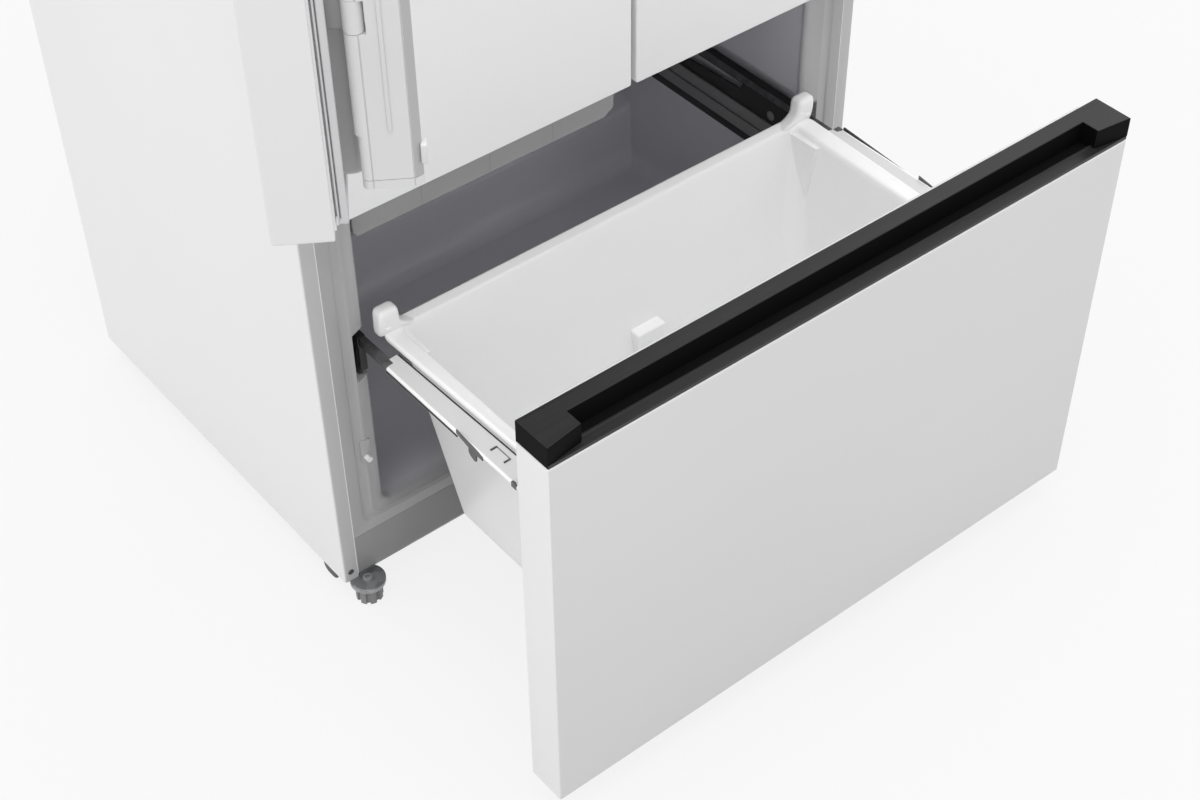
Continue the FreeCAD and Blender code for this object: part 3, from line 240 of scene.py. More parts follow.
finishes = {
    "white_paint": paintedFinish("sheetPaint", grey(0.79, 0.005), grey(0.83), 0.3, 0.05),
    # the side sheets' front returns take a greyer pair: painted shade
    "side_paint_shaded_front": paintedFinish("sidePaintShadedFront", grey(0.80, 0.005), grey(0.84), 0.3, 0.05,
                                front=(-0.3305, grey(0.50), grey(0.54))),
    "door_paint": paintedFinish("doorPaint", grey(0.74, 0.005), grey(0.78), 0.3, 0.05),
    # the drawer's front face takes a greyer pair: painted shade
    "drawer_paint_shaded_front": paintedFinish("drawerPaintShadedFront", grey(0.79, 0.005), grey(0.83), 0.3, 0.05,
                                  front=(-0.8088, grey(0.61, 0.002), grey(0.65, 0.002))),
    # the tub's white plastic made whiter still: painted light that offsets the shade on its walls; the runners' rolls
    # take it too
    "tub_plastic": mouldedFinish("tubPlastic", grey(0.87), grey(0.91), 0.32),
    "white_plastic": mouldedFinish("whitePlastic", grey(0.81), grey(0.86), 0.34),
    # greyer ahead of the cabinet's front plane: painted shade on the flanges, the switch plate, the door dykes and the
    # folding bar's strip
    "liner_plastic_shaded_front": mouldedFinish("linerPlasticShadedFront", (0.69, 0.68, 0.72), (0.75, 0.74, 0.78), 0.3,
                                   front=(-0.329, grey(0.39), grey(0.43))),
    # dark grey for the ice maker's white plastic: painted shade
    "ice_shade_plastic": mouldedFinish("iceShadePlastic", grey(0.30, 0.005), grey(0.34, 0.005), 0.5),
    # dark grey for white plastic in deep shade, the kick plate and the folding bar's stems: painted shade
    "kick_shade_plastic": mouldedFinish("kickShadePlastic", grey(0.27, 0.002), grey(0.31, 0.002), 0.42),
    "bar_plastic": mouldedFinish("barPlastic", grey(0.62, 0.002), grey(0.68, 0.002), 0.36),
    "grey_plastic": mouldedFinish("greyPlastic", grey(0.21, 0.005), grey(0.26, 0.005), 0.45),
    "black_trim": brushedFinish("brushedBlack", grey(0.008), grey(0.05), 0.36, 0.45, "X"),
    # near-black for the handle trim's faces in shade: painted shade in the pocket and on the bar's ends and slanting
    # fronts
    "pocket_shade_black": mouldedFinish("pocketShadeBlack", grey(0.003), grey(0.005), 0.6, shine=0.05),
    "black_steel": paintedFinish("blackCoat", grey(0.012), grey(0.022), 0.34, 0.08),
    "slide_steel": brushedFinish("railSteel", grey(0.16), grey(0.34), 0.34, 0.9, "Y"),
    "white_steel": paintedFinish("railPaint", grey(0.58), grey(0.62), 0.34, 0.03),
    "zinc_sheet": zincFinish("zincSheet", (0.24, 0.245, 0.25), (0.44, 0.45, 0.46), 0.34),
    "clip_steel": zincFinish("clipSteel", grey(0.09, 0.002), grey(0.2, 0.005), 0.42),
    "foam": mouldedFinish("foamCore", (0.62, 0.56, 0.38), (0.7, 0.64, 0.46), 0.9),
    "fin_aluminium": brushedFinish("finAluminium", (0.5, 0.51, 0.52), (0.7, 0.71, 0.72), 0.35, 0.9, "Z"),
    "seal_rubber": mouldedFinish("sealVinyl", grey(0.56, 0.01), grey(0.63, 0.01), 0.5),
    "clear_glass": clearFinish("shelfGlass", (0.93, 0.97, 0.95), 0.02, 1.5),
    "clear_plastic": clearFinish("clearPlastic", (0.95, 0.96, 0.97), 0.06, 1.46),
}
for row in frame["record"]["subparts"]:
    for holder in nodes[row["node"]].material_slots:
        holder.material = finishes[row["material_slot"]]
for name in ("left_slide_middle", "right_slide_middle"):
    nodes[name].material_slots[0].material = finishes["clip_steel"]
print("finishes:", len(finishes))


# Shapes: every shell is its points in millimetres and its faces as whole arrays
def loft(rings, ends=True, wrap=True, around=False):
    # rings of equal length, with quads between neighbours, and a flat face on each end or the last joined to the first
    rings = np.asarray(rings, float)
    rows, columns = rings.shape[:2]
    here = np.arange(rows if around else rows - 1)[:, None]
    ahead, here = (here + 1) % rows * columns, here * columns
    spot = np.arange(columns if wrap else columns - 1)
    after = (spot + 1) % columns
    quads = np.stack([here + spot, here + after, ahead + after, ahead + spot], axis=-1)
    faces = [quads.reshape(-1, 4)]
    if ends and not around:
        faces += [np.arange(columns)[None, ::-1], (np.arange(columns) + (rows - 1) * columns)[None]]
    return rings.reshape(-1, 3), faces


def prism(outline, axis, low, high):
    # an outline carried straight along one axis
    outline = np.asarray(outline, float)
    rings = [np.insert(outline, "XYZ".index(axis), place, axis=1) for place in (low, high)]
    return loft(rings)


def bar(x, y, z):
    # a plain box, from its three spans
    return prism([(x[0], y[0]), (x[1], y[0]), (x[1], y[1]), (x[0], y[1])], "Z", *z)


def roundOutline(corners, radii, steps=6):
    # each corner gives way to an arc that touches both of its sides
    corners = np.asarray(corners, float)
    radii = np.broadcast_to(np.asarray(radii, float), len(corners))[:, None]
    back = np.roll(corners, 1, axis=0) - corners
    ahead = np.roll(corners, -1, axis=0) - corners
    back /= np.linalg.norm(back, axis=1, keepdims=True)
    ahead /= np.linalg.norm(ahead, axis=1, keepdims=True)
    half = np.arccos(np.clip((back * ahead).sum(1), -1, 1))[:, None] / 2
    middle = back + ahead
    hub = corners + middle / np.linalg.norm(middle, axis=1, keepdims=True) * radii / np.sin(half)
    start = corners + back * radii / np.tan(half) - hub
    stop = corners + ahead * radii / np.tan(half) - hub
    turn = (np.pi - 2 * half)[:, None]
    share = np.linspace(0, 1, steps + 1)[None, :, None]
    arcs = np.sin((1 - share) * turn) * start[:, None] + np.sin(share * turn) * stop[:, None]
    line = (hub[:, None] + arcs / np.sin(turn)).reshape(-1, 2)
    return line[np.linalg.norm(line - np.roll(line, 1, axis=0), axis=1) > 1e-6]


def rectRings(table, axis, steps=6):
    # round-cornered rectangles, one for each row of left, right, low, high, radius and place along the axis
    left, right, low, high, radius, place = np.asarray(table, float).T[:, :, None, None]
    turn = np.linspace(0, np.pi / 2, steps + 1) + np.arange(4)[:, None] * np.pi / 2
    side = np.array([1, 0, 0, 1])[:, None]
    top = np.array([1, 1, 0, 0])[:, None]
    across = np.where(side, right - radius, left + radius) + radius * np.cos(turn)
    up = np.where(top, high - radius, low + radius) + radius * np.sin(turn)
    count = len(across)
    flat = np.stack([across.reshape(count, -1), up.reshape(count, -1)], axis=-1)
    return np.insert(flat, "XYZ".index(axis), np.broadcast_to(place[:, 0], flat.shape[:2]), axis=2)


def lathe(profile, centre, axis="Z", steps=40, around=False):
    # a profile of radius and height turned about an axis through the centre; around joins its last point to its first
    profile = np.asarray(profile, float)
    turn = np.linspace(0, 2 * np.pi, steps, endpoint=False)
    ring = np.stack([np.cos(turn), np.sin(turn)], axis=-1)
    flat = profile[:, :1, None] * ring[None]
    rings = np.insert(flat, "XYZ".index(axis), profile[:, 1:2] * np.ones(steps), axis=2)
    return loft(rings + np.asarray(centre, float), around=around)


def ringTable(x, z, rows, radius):
    # rectangles drawn in by an inset, one for each row of inset and place, with corners that tighten alike
    inset, place = np.asarray(rows, float).T
    corner = np.maximum(radius - inset, 0.4)
    return np.stack([x[0] + inset, x[1] - inset, z[0] + inset, z[1] - inset, corner, place], axis=1)


def slab(x, y, z, edge, radius=3, back=1, axis="Y"):
    # a block whose front and back edges are quarter circles: the inset falls by a sine as the depth grows by a cosine
    turn = np.linspace(0, np.pi / 2, 5)
    front = np.stack([edge * (1 - np.sin(turn)), y[0] + edge * (1 - np.cos(turn))], axis=1)
    rear = np.stack([back * (1 - np.cos(turn)), y[1] - back * (1 - np.sin(turn))], axis=1)
    return loft(rectRings(ringTable(x, z, np.concatenate([front, rear]), radius), axis, 4))


def gasket(x, z, base, radius=7):
    # a bellows seal round a door: its profile of inset and height is carried round a rectangle
    profile = np.array([
        (7, 0.1), (7, 1.8), (0.5, 1.9), (0, 2.3), (0, 3.3), (0.5, 3.7), (5, 3.8), (5, 5.0), (0.6, 5.1), (0, 5.8),
        (0, 10.2), (0.8, 11.3), (2, 11.5), (9.6, 11.5), (11.3, 10.7), (12, 9.2), (12, 0.1),
    ])
    profile[:, 1] += base
    return loft(rectRings(ringTable(x, z, profile, radius), "Y", 4), around=True)


def openBox(x, y, z, wall, radius):
    # floor, inside wall, rounded rim, outside wall and underside as one skin, by inset and height
    low, high = z
    rows = [
        (wall + 14, low + wall), (wall + 5, low + wall + 0.6), (wall + 1.4, low + wall + 3),
        (wall + 0.4, low + wall + 8), (wall, high - 2), (wall - 0.5, high - 0.6), (wall - 1.2, high),
        (1.0, high), (0.2, high - 0.7), (0, high - 2),
        (0.4, low + 8), (1.6, low + 2.6), (5, low + 0.3), (14, low),
    ]
    return loft(rectRings(ringTable(x, y, rows, radius), "Z", 6))


def mirrored(shell):
    points, faces = shell
    return points * (-1, 1, 1), faces


def handed(shells, sign):
    # drawn for the right side, mirrored for the left
    return [shell if sign > 0 else mirrored(shell) for shell in shells]


def together(shells):
    starts = np.cumsum([0] + [len(points) for points, _ in shells])
    points = np.concatenate([points for points, _ in shells])
    return points, [block + start for start, (_, faces) in zip(starts, shells) for block in faces]


def addPiece(name, shells, body, finish, slot, stands=(), edge=0, crease=35, move=None, inside=None, wall=0):
    # inside is a point that an open sheet's faces look to, wall the thickness given to it
    points, faces = together(shells)
    if move:
        points = move(points)
    mesh = bpy.data.meshes.new(name)
    mesh.from_pydata((points * mm).tolist(), [], [face for block in faces for face in block.tolist()])
    work = bmesh.new()
    work.from_mesh(mesh)
    if inside is None:
        bmesh.ops.recalc_face_normals(work, faces=work.faces)
    else:
        aim = Vector(inside) * mm
        if sum(face.normal.dot(aim - face.calc_center_median()) * face.calc_area() for face in work.faces) < 0:
            bmesh.ops.reverse_faces(work, faces=work.faces)
    work.to_mesh(mesh)
    work.free()
    mesh.shade_smooth()
    mesh.set_sharp_from_angle(angle=math.radians(crease))
    piece = bpy.data.objects.new(name, mesh)
    bpy.context.scene.collection.objects.link(piece)
    mesh.materials.append(finishes[finish])
    if wall:
        sheet = piece.modifiers.new("wall", "SOLIDIFY")
        sheet.thickness, sheet.offset = wall * mm, -1
    if edge:
        bevel = piece.modifiers.new("edges", "BEVEL")
        bevel.width, bevel.segments = edge * mm, 3
        bevel.limit_method, bevel.angle_limit = "ANGLE", math.radians(crease)
        bevel.harden_normals = True
    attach(piece, body)
    if stands:
        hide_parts(*stands)
    return piece


# Cabinet shell: folded side sheets
hands = (("left", -1), ("right", 1))
cabinet = {
    "half": 454, "front": -331, "back": 331, "low": 35, "high": 1755,
    "gauge": 1, "return": 22, "rearReturn": 18, "bend": 4, "rim": 0.3,
}


def addSidePanel(hand, sign, c):
    half, front, back, gauge, bend, rim = (c[key] for key in ("half", "front", "back", "gauge", "bend", "rim"))
    near, far = half - c["return"], half - c["rearReturn"]
    corners = [
        (half, front), (near, front), (near, front + gauge), (half - gauge, front + gauge),
        (half - gauge, back - gauge), (far, back - gauge), (far, back), (half, back),
    ]
    outline = roundOutline(corners, [bend, rim, rim, bend - gauge, bend - gauge, rim, rim, bend])
    shell = prism(outline * (sign, 1), "Z", c["low"], c["high"])
    addPiece(hand + "SideSheet", [shell], "cabinet", "side_paint_shaded_front", "white_paint", [hand + "_side_panel"])


for hand, sign in hands:
    addSidePanel(hand, sign, cabinet)

# Rear panel: a sheet with upright beads pressed into it, held by screws
rearPanel = {
    "half": 435.7, "z": (260.3, 1753.7), "face": 329.8, "depth": 3.2, "width": 13,
    "beads": (-330, -198, -66, 66, 198, 330), "ends": (330, 1690), "fade": 26,
    "screws": [(x, z) for z in (272, 640, 1010, 1380, 1742) for x in (-425, 425)]
              + [(x, z) for z in (272, 1742) for x in (-210, 0, 210)],
    "head": [(0.3, 0), (4.2, 0), (4.2, 0.4), (3.4, 0.95), (1.8, 1.15), (1.5, 0.5), (0.3, 0.5)],
}


def addRearPanel(p):
    # depth of the dip: a raised cosine across each bead, times a smooth fade at its two ends
    wave = np.linspace(-1, 1, 11)
    across = np.concatenate([[-p["half"]], *(bead + wave * p["width"] for bead in p["beads"]), [p["half"]]])
    fade = np.linspace(0, 1, 8) * p["fade"]
    up = np.concatenate([[p["z"][0]], p["ends"][0] + fade, p["ends"][1] - fade[::-1], [p["z"][1]]])
    near = np.abs(across[:, None] - np.array(p["beads"])).min(axis=1) / p["width"]
    dip = 0.5 + 0.5 * np.cos(np.pi * np.clip(near, 0, 1))
    share = np.clip(np.minimum(up - p["ends"][0], p["ends"][1] - up) / p["fade"], 0, 1)
    place = p["face"] - p["depth"] * dip * (share * share * (3 - 2 * share))[:, None]
    x, z = np.meshgrid(across, up)
    sheet = loft(np.stack([x, place, z], axis=-1), ends=False, wrap=False)
    addPiece("rearSheet", [sheet], "cabinet", "zinc_sheet", "zinc_sheet", ["rear_panel", "cabinet_foam"],
             inside=(0, 2000, 900), wall=0.8)
    screws = [lathe(p["head"], (x, p["face"] + 0.02, z), "Y", 16) for x, z in p["screws"]]
    addPiece("rearScrews", screws, "cabinet", "slide_steel", "slide_steel")


addRearPanel(rearPanel)

# Kick plate with a screw in the side sheet beside it, seams along the front, and the cheeks of the front rollers
kickPlate = {
    "half": 431.7, "y": (-331, -328), "z": (41, 109.7), "screw": (443, -331, 51),
    "head": [(0.2, 0.2), (4.6, 0.2), (4.6, -0.3), (3.6, -0.5), (2.2, -0.5), (1.9, -0.1), (0.2, -0.1)],
}
frontSeam = {"x": (431.4, 432.6), "y": (-331.45, -330), "z": (41, 1753)}
rollerFork = {"x": (441, 447), "y": (-297, -262), "z": (4, 34)}


def addCabinetFoot(k, seam, fork):
    plate = slab((-k["half"], k["half"]), k["y"], k["z"], 0.9, 1.5, 0.3)
    # the kick plate's white plastic is drawn dark grey: painted shade under the open drawer
    addPiece("kickPlate", [plate], "cabinet", "kick_shade_plastic", "white_plastic", ["kick_plate"])
    across, along, up = k["screw"]
    screws = [lathe(k["head"], (sign * across, along, up), "Y", 20) for _, sign in hands]
    addPiece("sheetScrews", screws, "cabinet", "clip_steel", "white_paint")
    line = bar(seam["x"], seam["y"], seam["z"])
    addPiece("frontSeams", [line, mirrored(line)], "cabinet", "white_paint", "white_paint", edge=0.3)
    cheek = slab(fork["y"], fork["x"], fork["z"], 1.5, 13, 1.5, "X")
    addPiece("frontForks", [cheek, mirrored(cheek)], "cabinet", "black_steel", "black_trim")


addCabinetFoot(kickPlate, frontSeam, rollerFork)
print("cabinet shell done")

# Freezer liner: flange, channel, lip, box with round corners, channels for the rails, step over the machine room
freezerLiner = {
    # half width, bottom, top, corner radius, depth behind the front plane
    "rows": [
        (431.7, 110.2, 675.7, 1, 3), (431.7, 110.2, 675.7, 1, 0), (414.5, 126.5, 661, 12, 0),
        (413.2, 127.3, 660, 13, 0.6), (411.5, 128.4, 658.5, 14, 2.4), (400.5, 131, 653, 16, 3),
        (399, 131.5, 652, 16, 2.2), (398, 132, 651, 16, 1.2), (396, 132.4, 650, 16, 0.8), (378, 133.4, 638, 18, 8),
        (374.5, 133.8, 634, 19, 10.5), (372.8, 134, 632, 20, 13.5), (373.2, 134, 630.5, 20, 17),
        (376, 134, 629.5, 22, 22), (384, 134, 629, 26, 28), (385, 134, 629, 28, 32), (385, 134, 629, 28, 516),
        (385, 134, 629, 28, 522), (385, 134, 629, 28, 555), (384, 135, 628, 27, 568), (380, 139, 624, 24, 580),
        (373, 146, 617, 18, 587), (362, 157, 606, 12, 590),
    ],
    "railRoom": {"half": 396.5, "z": (374, 378, 450, 454), "depth": (4, 520)},
    "step": [(34.9, 131), (35, 134), (69, 134), (69, 235), (259, 305), (259, 131)],
    "stepRound": [0.1, 0.05, 33.5, 14, 0.3, 0.3], "stepHalf": 385, "arc": 7,
}


def addFreezerLiner(f):
    table = np.array([(-half, half, low, high, radius, cabinet["front"] + depth)
                      for half, low, high, radius, depth in f["rows"]])
    rings = rectRings(table, "Y", f["arc"])
    # four more points on each upright side: the middle two stand out to the rail channel's depth
    depth = table[:, 5] - cabinet["front"]
    within = (depth > f["railRoom"]["depth"][0]) & (depth < f["railRoom"]["depth"][1])
    wide = np.where(within, f["railRoom"]["half"], table[:, 1])
    half = np.stack([table[:, 1], wide, wide, table[:, 1]], axis=1)
    up = np.broadcast_to(f["railRoom"]["z"], half.shape)
    back = np.broadcast_to(table[:, 5:], half.shape)
    right = np.stack([half, back, up], axis=-1)
    left = np.stack([-half, back, up], axis=-1)[:, ::-1]
    upper = 2 * (f["arc"] + 1)    # the points of the two upper corners
    points, faces = loft(np.concatenate([rings[:, :upper], left, rings[:, upper:], right], axis=1))
    liner = points, [faces[0], faces[2]]    # no face over the mouth
    addPiece("freezerLiner", [liner], "cabinet", "liner_plastic_shaded_front", "white_plastic", ["freezer_liner"],
             crease=40, inside=(0, 0, 380), wall=2)
    outline = roundOutline(f["step"], f["stepRound"])
    step = prism(outline, "X", -f["stepHalf"], f["stepHalf"])
    addPiece("freezerStep", [step], "cabinet", "liner_plastic_shaded_front", "white_plastic", crease=50)


addFreezerLiner(freezerLiner)

# Fridge and pantry liners: the same flange and mouth round each box, with ledges for shelves and drawers
upperLiners = {
    # growth of the box, corner radius, depth behind the front plane
    "mouth": [(27, 12, 0), (25.6, 13, 0.6), (24, 14, 2.4), (13.5, 18, 3), (12, 18, 1.2), (10, 19, 0.8), (2.5, 24, 7),
              (0.6, 26, 14), (0, 28, 24), (0, 28, 556), (-1.5, 27, 570), (-6, 24, 581), (-13, 18, 588), (-24, 12, 590)],
    "boxes": [    # name, flange span, box span, both as left, right, low, high, and the node that they stand for
        ("fridgeLiner", (-431.7, 431.7, 994.2, 1753.6), (-385, 385, 1041, 1695), "fridge_liner"),
        ("leftPantryLiner", (-431.7, 0, 676.2, 993.6), (-385, -28, 723, 947), "pantry_liner"),
        ("rightPantryLiner", (0, 431.7, 676.2, 993.6), (28, 385, 723, 947), None),
    ],
    "ledges": [    # across, along, up
        ((376, 385.5), (-181, 258), (1251, 1258.8)), ((376, 385.5), (-181, 258), (1469, 1476.8)),
        ((379, 385.5), (-312, 258), (827, 834.6)), ((27.5, 34), (-312, 258), (827, 834.6)),
    ],
}


def addUpperLiners(u):
    front = cabinet["front"]
    for name, flange, box, node in u["boxes"]:
        table = [(*flange, 1, front + 3), (*flange, 1, front)]
        table += [(box[0] - grow, box[1] + grow, box[2] - grow, box[3] + grow, radius, front + depth)
                  for grow, radius, depth in u["mouth"]]
        points, faces = loft(rectRings(table, "Y", 6))
        middle = ((box[0] + box[1]) / 2, 0, (box[2] + box[3]) / 2)
        addPiece(name, [(points, [faces[0], faces[2]])], "cabinet", "liner_plastic_shaded_front", "white_plastic",
                 [node] if node else [], crease=40, inside=middle, wall=2)
    ledges = [slab(x, z, y, 2.2, 2.5, 2.2, "Z") for x, y, z in u["ledges"]]
    addPiece("linerLedges", ledges + [mirrored(ledge) for ledge in ledges], "cabinet", "liner_plastic_shaded_front", "white_plastic")


addUpperLiners(upperLiners)
print("liners done")

# Glass shelves: a pane in a trim at the front and the back
shelves = {
    "half": 384.5, "y": (-193, 244), "pane": (12.4, 17), "paneGap": (10, 4), "trimGap": 9,
    "rises": (("lowerShelf", "lower_shelf", 1247), ("upperShelf", "upper_shelf", 1465)),
    # trim outlines from the shelf's front or back edge and its underside, and their corner radii
    "front": ([(0, 2), (0, 20), (15, 20), (15, 17.2), (9.6, 17.2), (9.6, 12), (11, 2)], [4, 4, 0.8, 0.3, 0.3, 0.3, 2]),
    "rear": ([(-12, 17.2), (-12, 20), (0, 20), (0, 12.2), (-3.6, 12.2), (-3.6, 17.2)], [0.6, 1, 1, 1, 0.3, 0.3]),
}


def addShelf(name, node, low, s):
    half, (front, back) = s["half"], s["y"]
    pane = slab((-half, half), (low + s["pane"][0], low + s["pane"][1]),
                (front + s["paneGap"][0], back - s["paneGap"][1]), 0.6, 3, 0.6, "Z")
    addPiece(name + "Pane", [pane], "cabinet", "clear_glass", "clear_glass", [node], crease=8)
    end = half - s["trimGap"]
    trims = [prism(roundOutline(np.array(s[key][0]) + (edge, low), s[key][1]), "X", -end, end)
             for key, edge in (("front", front), ("rear", back))]
    addPiece(name + "Trim", trims, "cabinet", "white_plastic", "white_plastic", edge=0.5)


for name, node, low in shelves["rises"]:
    addShelf(name, node, low, shelves)

# Ice maker at the roof of the freezer: a long box with cut corners and three thin seams
iceMaker = {
    "front": [(-361.5, 628.8), (-361.5, 583), (-355, 575), (32, 575), (47.5, 585), (47.5, 628.8)], "y": (-303, -1),
    "seams": (-258.7, -154, -53.6), "seam": ((-0.35, 0.35), (-303.1, -302), (578, 627)),
}


def addIceMaker(i):
    # the ice maker's white plastic is drawn dark grey: painted shade at the freezer's roof
    addPiece("iceMakerBody", [prism(i["front"], "Y", *i["y"])], "cabinet", "ice_shade_plastic", "white_plastic",
             ["ice_maker"], edge=2)
    across, along, up = i["seam"]
    seams = [bar((place + across[0], place + across[1]), along, up) for place in i["seams"]]
    addPiece("iceMakerSeams", seams, "cabinet", "grey_plastic", "grey_plastic")


addIceMaker(iceMaker)

# Door switch: a plate in the liner's flange with a round well for the plunger
switchPlate = {
    "x": (-404, -388.5), "z": (236, 273.5), "front": -331.9, "centre": (-397, 246),
    "edge": [(0.3, 22.9), (0, 22.4), (0, 1.1), (0.35, 0.35), (1.1, 0)],    # inset and depth
    "well": [(6.4, 0), (5.7, -0.25), (4.9, -0.1), (4.5, 0.6), (4.5, 22.9)],    # radius and depth
}


def addSwitchPlate(p):
    # rectangles that pass into circles, whose points lie on the lines from the well's centre to the rectangle's points
    sides = rectRings(ringTable(p["x"], p["z"], np.array(p["edge"]) + (0, p["front"]), 3), "Y", 6)
    ways = sides[-1][:, [0, 2]] - p["centre"]
    ways /= np.linalg.norm(ways, axis=1, keepdims=True)
    radius, depth = np.array(p["well"]).T[:, :, None]
    flat = radius[..., None] * ways + p["centre"]
    back = np.broadcast_to(depth + p["front"], flat.shape[:2])
    circles = np.stack([flat[..., 0], back, flat[..., 1]], axis=-1)
    plate = loft(np.concatenate([sides, circles]), around=True)
    addPiece("switchPlate", [plate], "cabinet", "liner_plastic_shaded_front", "white_plastic", ["switch_housing"])


addSwitchPlate(switchPlate)
print("freezer fittings done")

# Freezer drawer front and its handle trim; the drawer is drawn at its photographed place, pulled out
drawerFront = {
    "half": 454, "y": (-809, -753), "z": (47.7, 628.3), "edge": 2.6, "panelTop": 659.6, "rise": 3,
    "paint": "drawer_paint_shaded_front", "seal": (-442, 442, 113, 647.8),
}
handleTrim = {
    "end": 51, "strip": 23, "height": 31.5, "setback": 1.5, "slant": 8.5,
    "lip": 14, "ledge": 17, "lipRise": 5, "ledgeRise": 6.2, "floorRise": 1.6,
    "skin": 0.5, "lap": 0.1, "drop": 1.2, "plateDrop": 0.6,    # the pocket's dark plates of painted shade, their overlap, and their tops
}


def innerPanel(x, z, base, rise, edge=1.5):
    # a flat border for the seal, then a low round dyke, by inset and place
    rows = [
        (edge, base - 3), (edge, base - 0.7), (edge + 0.7, base), (26, base), (28, base + rise * 0.6),
        (31, base + rise), (38, base + rise), (41, base + rise * 0.6), (43, base + 0.2), (60, base + 0.2),
    ]
    return loft(rectRings(ringTable(x, z, rows, 9), "Y", 5))


def handleShells(x, y, low, t):
    # a bar with a finger pocket: its front edges slant back towards the pocket
    high = low + t["height"]
    left, right = x[0] + t["end"], x[1] - t["end"]
    x = (x[0] + t["skin"], x[1] - t["skin"])    # room for the dark end plates of painted shade
    outline = [
        (x[0], y[0] + t["setback"]), (left, y[0] + t["slant"]), (left, y[1] - t["strip"]),
        (right, y[1] - t["strip"]), (right, y[0] + t["slant"]), (x[1], y[0] + t["setback"]),
        (x[1], y[1]), (x[0], y[1]),
    ]
    lip = [
        (y[0] + 0.8, low + 0.1), (y[0] + 0.8, low + t["lipRise"]), (y[0] + t["lip"], low + t["lipRise"]),
        (y[0] + t["lip"], low + t["ledgeRise"]), (y[0] + t["ledge"], low + t["ledgeRise"]),
        (y[0] + t["ledge"], low + t["floorRise"]), (y[1] - t["strip"] + 2, low + t["floorRise"]),
        (y[1] - t["strip"] + 2, low + 0.1),
    ]
    return [prism(outline, "Z", low + t["floorRise"], high), prism(lip, "X", x[0] + 0.3, x[1] - 0.3)]


def pocketShadeShells(x, y, low, t):
    # painted shade as dark plates: the finger pocket's back, ends and floor, then plates over the bar's ends and
    # slanting fronts, the faces that do not look up
    left, right = x[0] + t["end"], x[1] - t["end"]
    back, floor, skin, lap = y[1] - t["strip"], low + t["floorRise"], t["skin"], t["lap"]
    outer, slant = y[0] + t["setback"], y[0] + t["slant"]
    inner, rear = slant + t["drop"], y[1] - t["plateDrop"]
    top, plateTop = low + t["height"] - t["drop"], low + t["height"] - t["plateDrop"]
    fronts = [prism([(end, outer - skin), (near, slant - skin), (near, slant + lap), (end, outer + lap)], "Z",
                    low + t["lipRise"], plateTop) for end, near in ((x[0], left), (x[1], right))]
    return [
        bar((left, right), (back - skin, back + lap), (floor, top)),
        bar((left - lap, left + skin), (inner, back), (floor, top)),
        bar((right - skin, right + lap), (inner, back), (floor, top)),
        bar((left, right), (y[0] + t["ledge"] + lap, back), (floor, floor + skin)),
        bar((x[0], x[0] + skin + lap), (outer, rear), (floor, plateTop)),
        bar((x[1] - skin - lap, x[1]), (outer, rear), (floor, plateTop)),
        *fronts,
    ]


def addHandle(name, body, x, y, low, node):
    addPiece(name + "Trim", handleShells(x, y, low, handleTrim), body, "black_trim", "black_trim", [node], edge=0.5)
    addPiece(name + "PocketShade", pocketShadeShells(x, y, low, handleTrim), body, "pocket_shade_black", "black_trim")


def addFront(name, body, x, f, stands):
    # slab, inner panel, bellows seal and handle of one drawer, with the nodes that they stand for in that order
    far = f["y"][1] + 2
    front, core, seal, handle = stands
    addPiece(name + "Sheet", [slab(x, f["y"], f["z"], f["edge"], 3, 0.8)], body, f["paint"], "white_paint", [front])
    panel = innerPanel(x, (f["z"][0], f["panelTop"]), far, f["rise"])
    addPiece(name + "InnerPanel", [panel], body, "white_plastic", "white_plastic", [core] if core else [])
    addPiece(name + "Seal", [gasket(f["seal"][:2], f["seal"][2:], far)], body, "seal_rubber", "seal_rubber", [seal])
    addHandle(name + "Handle", body, x, f["y"], f["z"][1], handle)


addFront("drawer", "freezer_drawer", (-drawerFront["half"], drawerFront["half"]), drawerFront,
         ["freezer_front", "freezer_core", "freezer_gasket", "freezer_handle"])

# Middle drawer fronts and the clear boxes behind them
middleFront = {
    "x": (4, 454), "y": (-401, -345), "z": (692, 947), "edge": 2.6, "panelTop": 978.3, "rise": 0.4,
    "paint": "white_paint", "seal": (10, 442, 704, 966.5),
}
pantryBox = {
    "x": (38, 375), "y": (-342.4, 89), "z": (731, 925), "wall": 3, "radius": 14,
    "lip": ((28.6, 384.4), (-318, 88), (835.2, 843)), "lipLap": 1,
}


def addMiddle(hand, sign, m, b):
    body = hand + "_pantry"
    x, seal = (tuple(sorted((sign * span[0], sign * span[1]))) for span in (m["x"], m["seal"]))
    addFront(hand + "Middle", body, x, {**m, "seal": (*seal, *m["seal"][2:])},
             [body + "_front", None, body + "_gasket", body + "_handle"])
    outer, along, up = b["lip"]
    spans = (outer[0], b["x"][0] + b["lipLap"]), (b["x"][1] - b["lipLap"], outer[1])
    lips = [slab(span, up, along, 1.5, 2, 1.5, "Z") for span in spans]
    box = openBox(b["x"], b["y"], b["z"], b["wall"], b["radius"])
    addPiece(hand + "MiddleBox", handed([box, *lips], sign), body, "clear_plastic", "clear_plastic", [body + "_box"])


for hand, sign in hands:
    addMiddle(hand, sign, middleFront, pantryBox)
print("fronts and handles done")

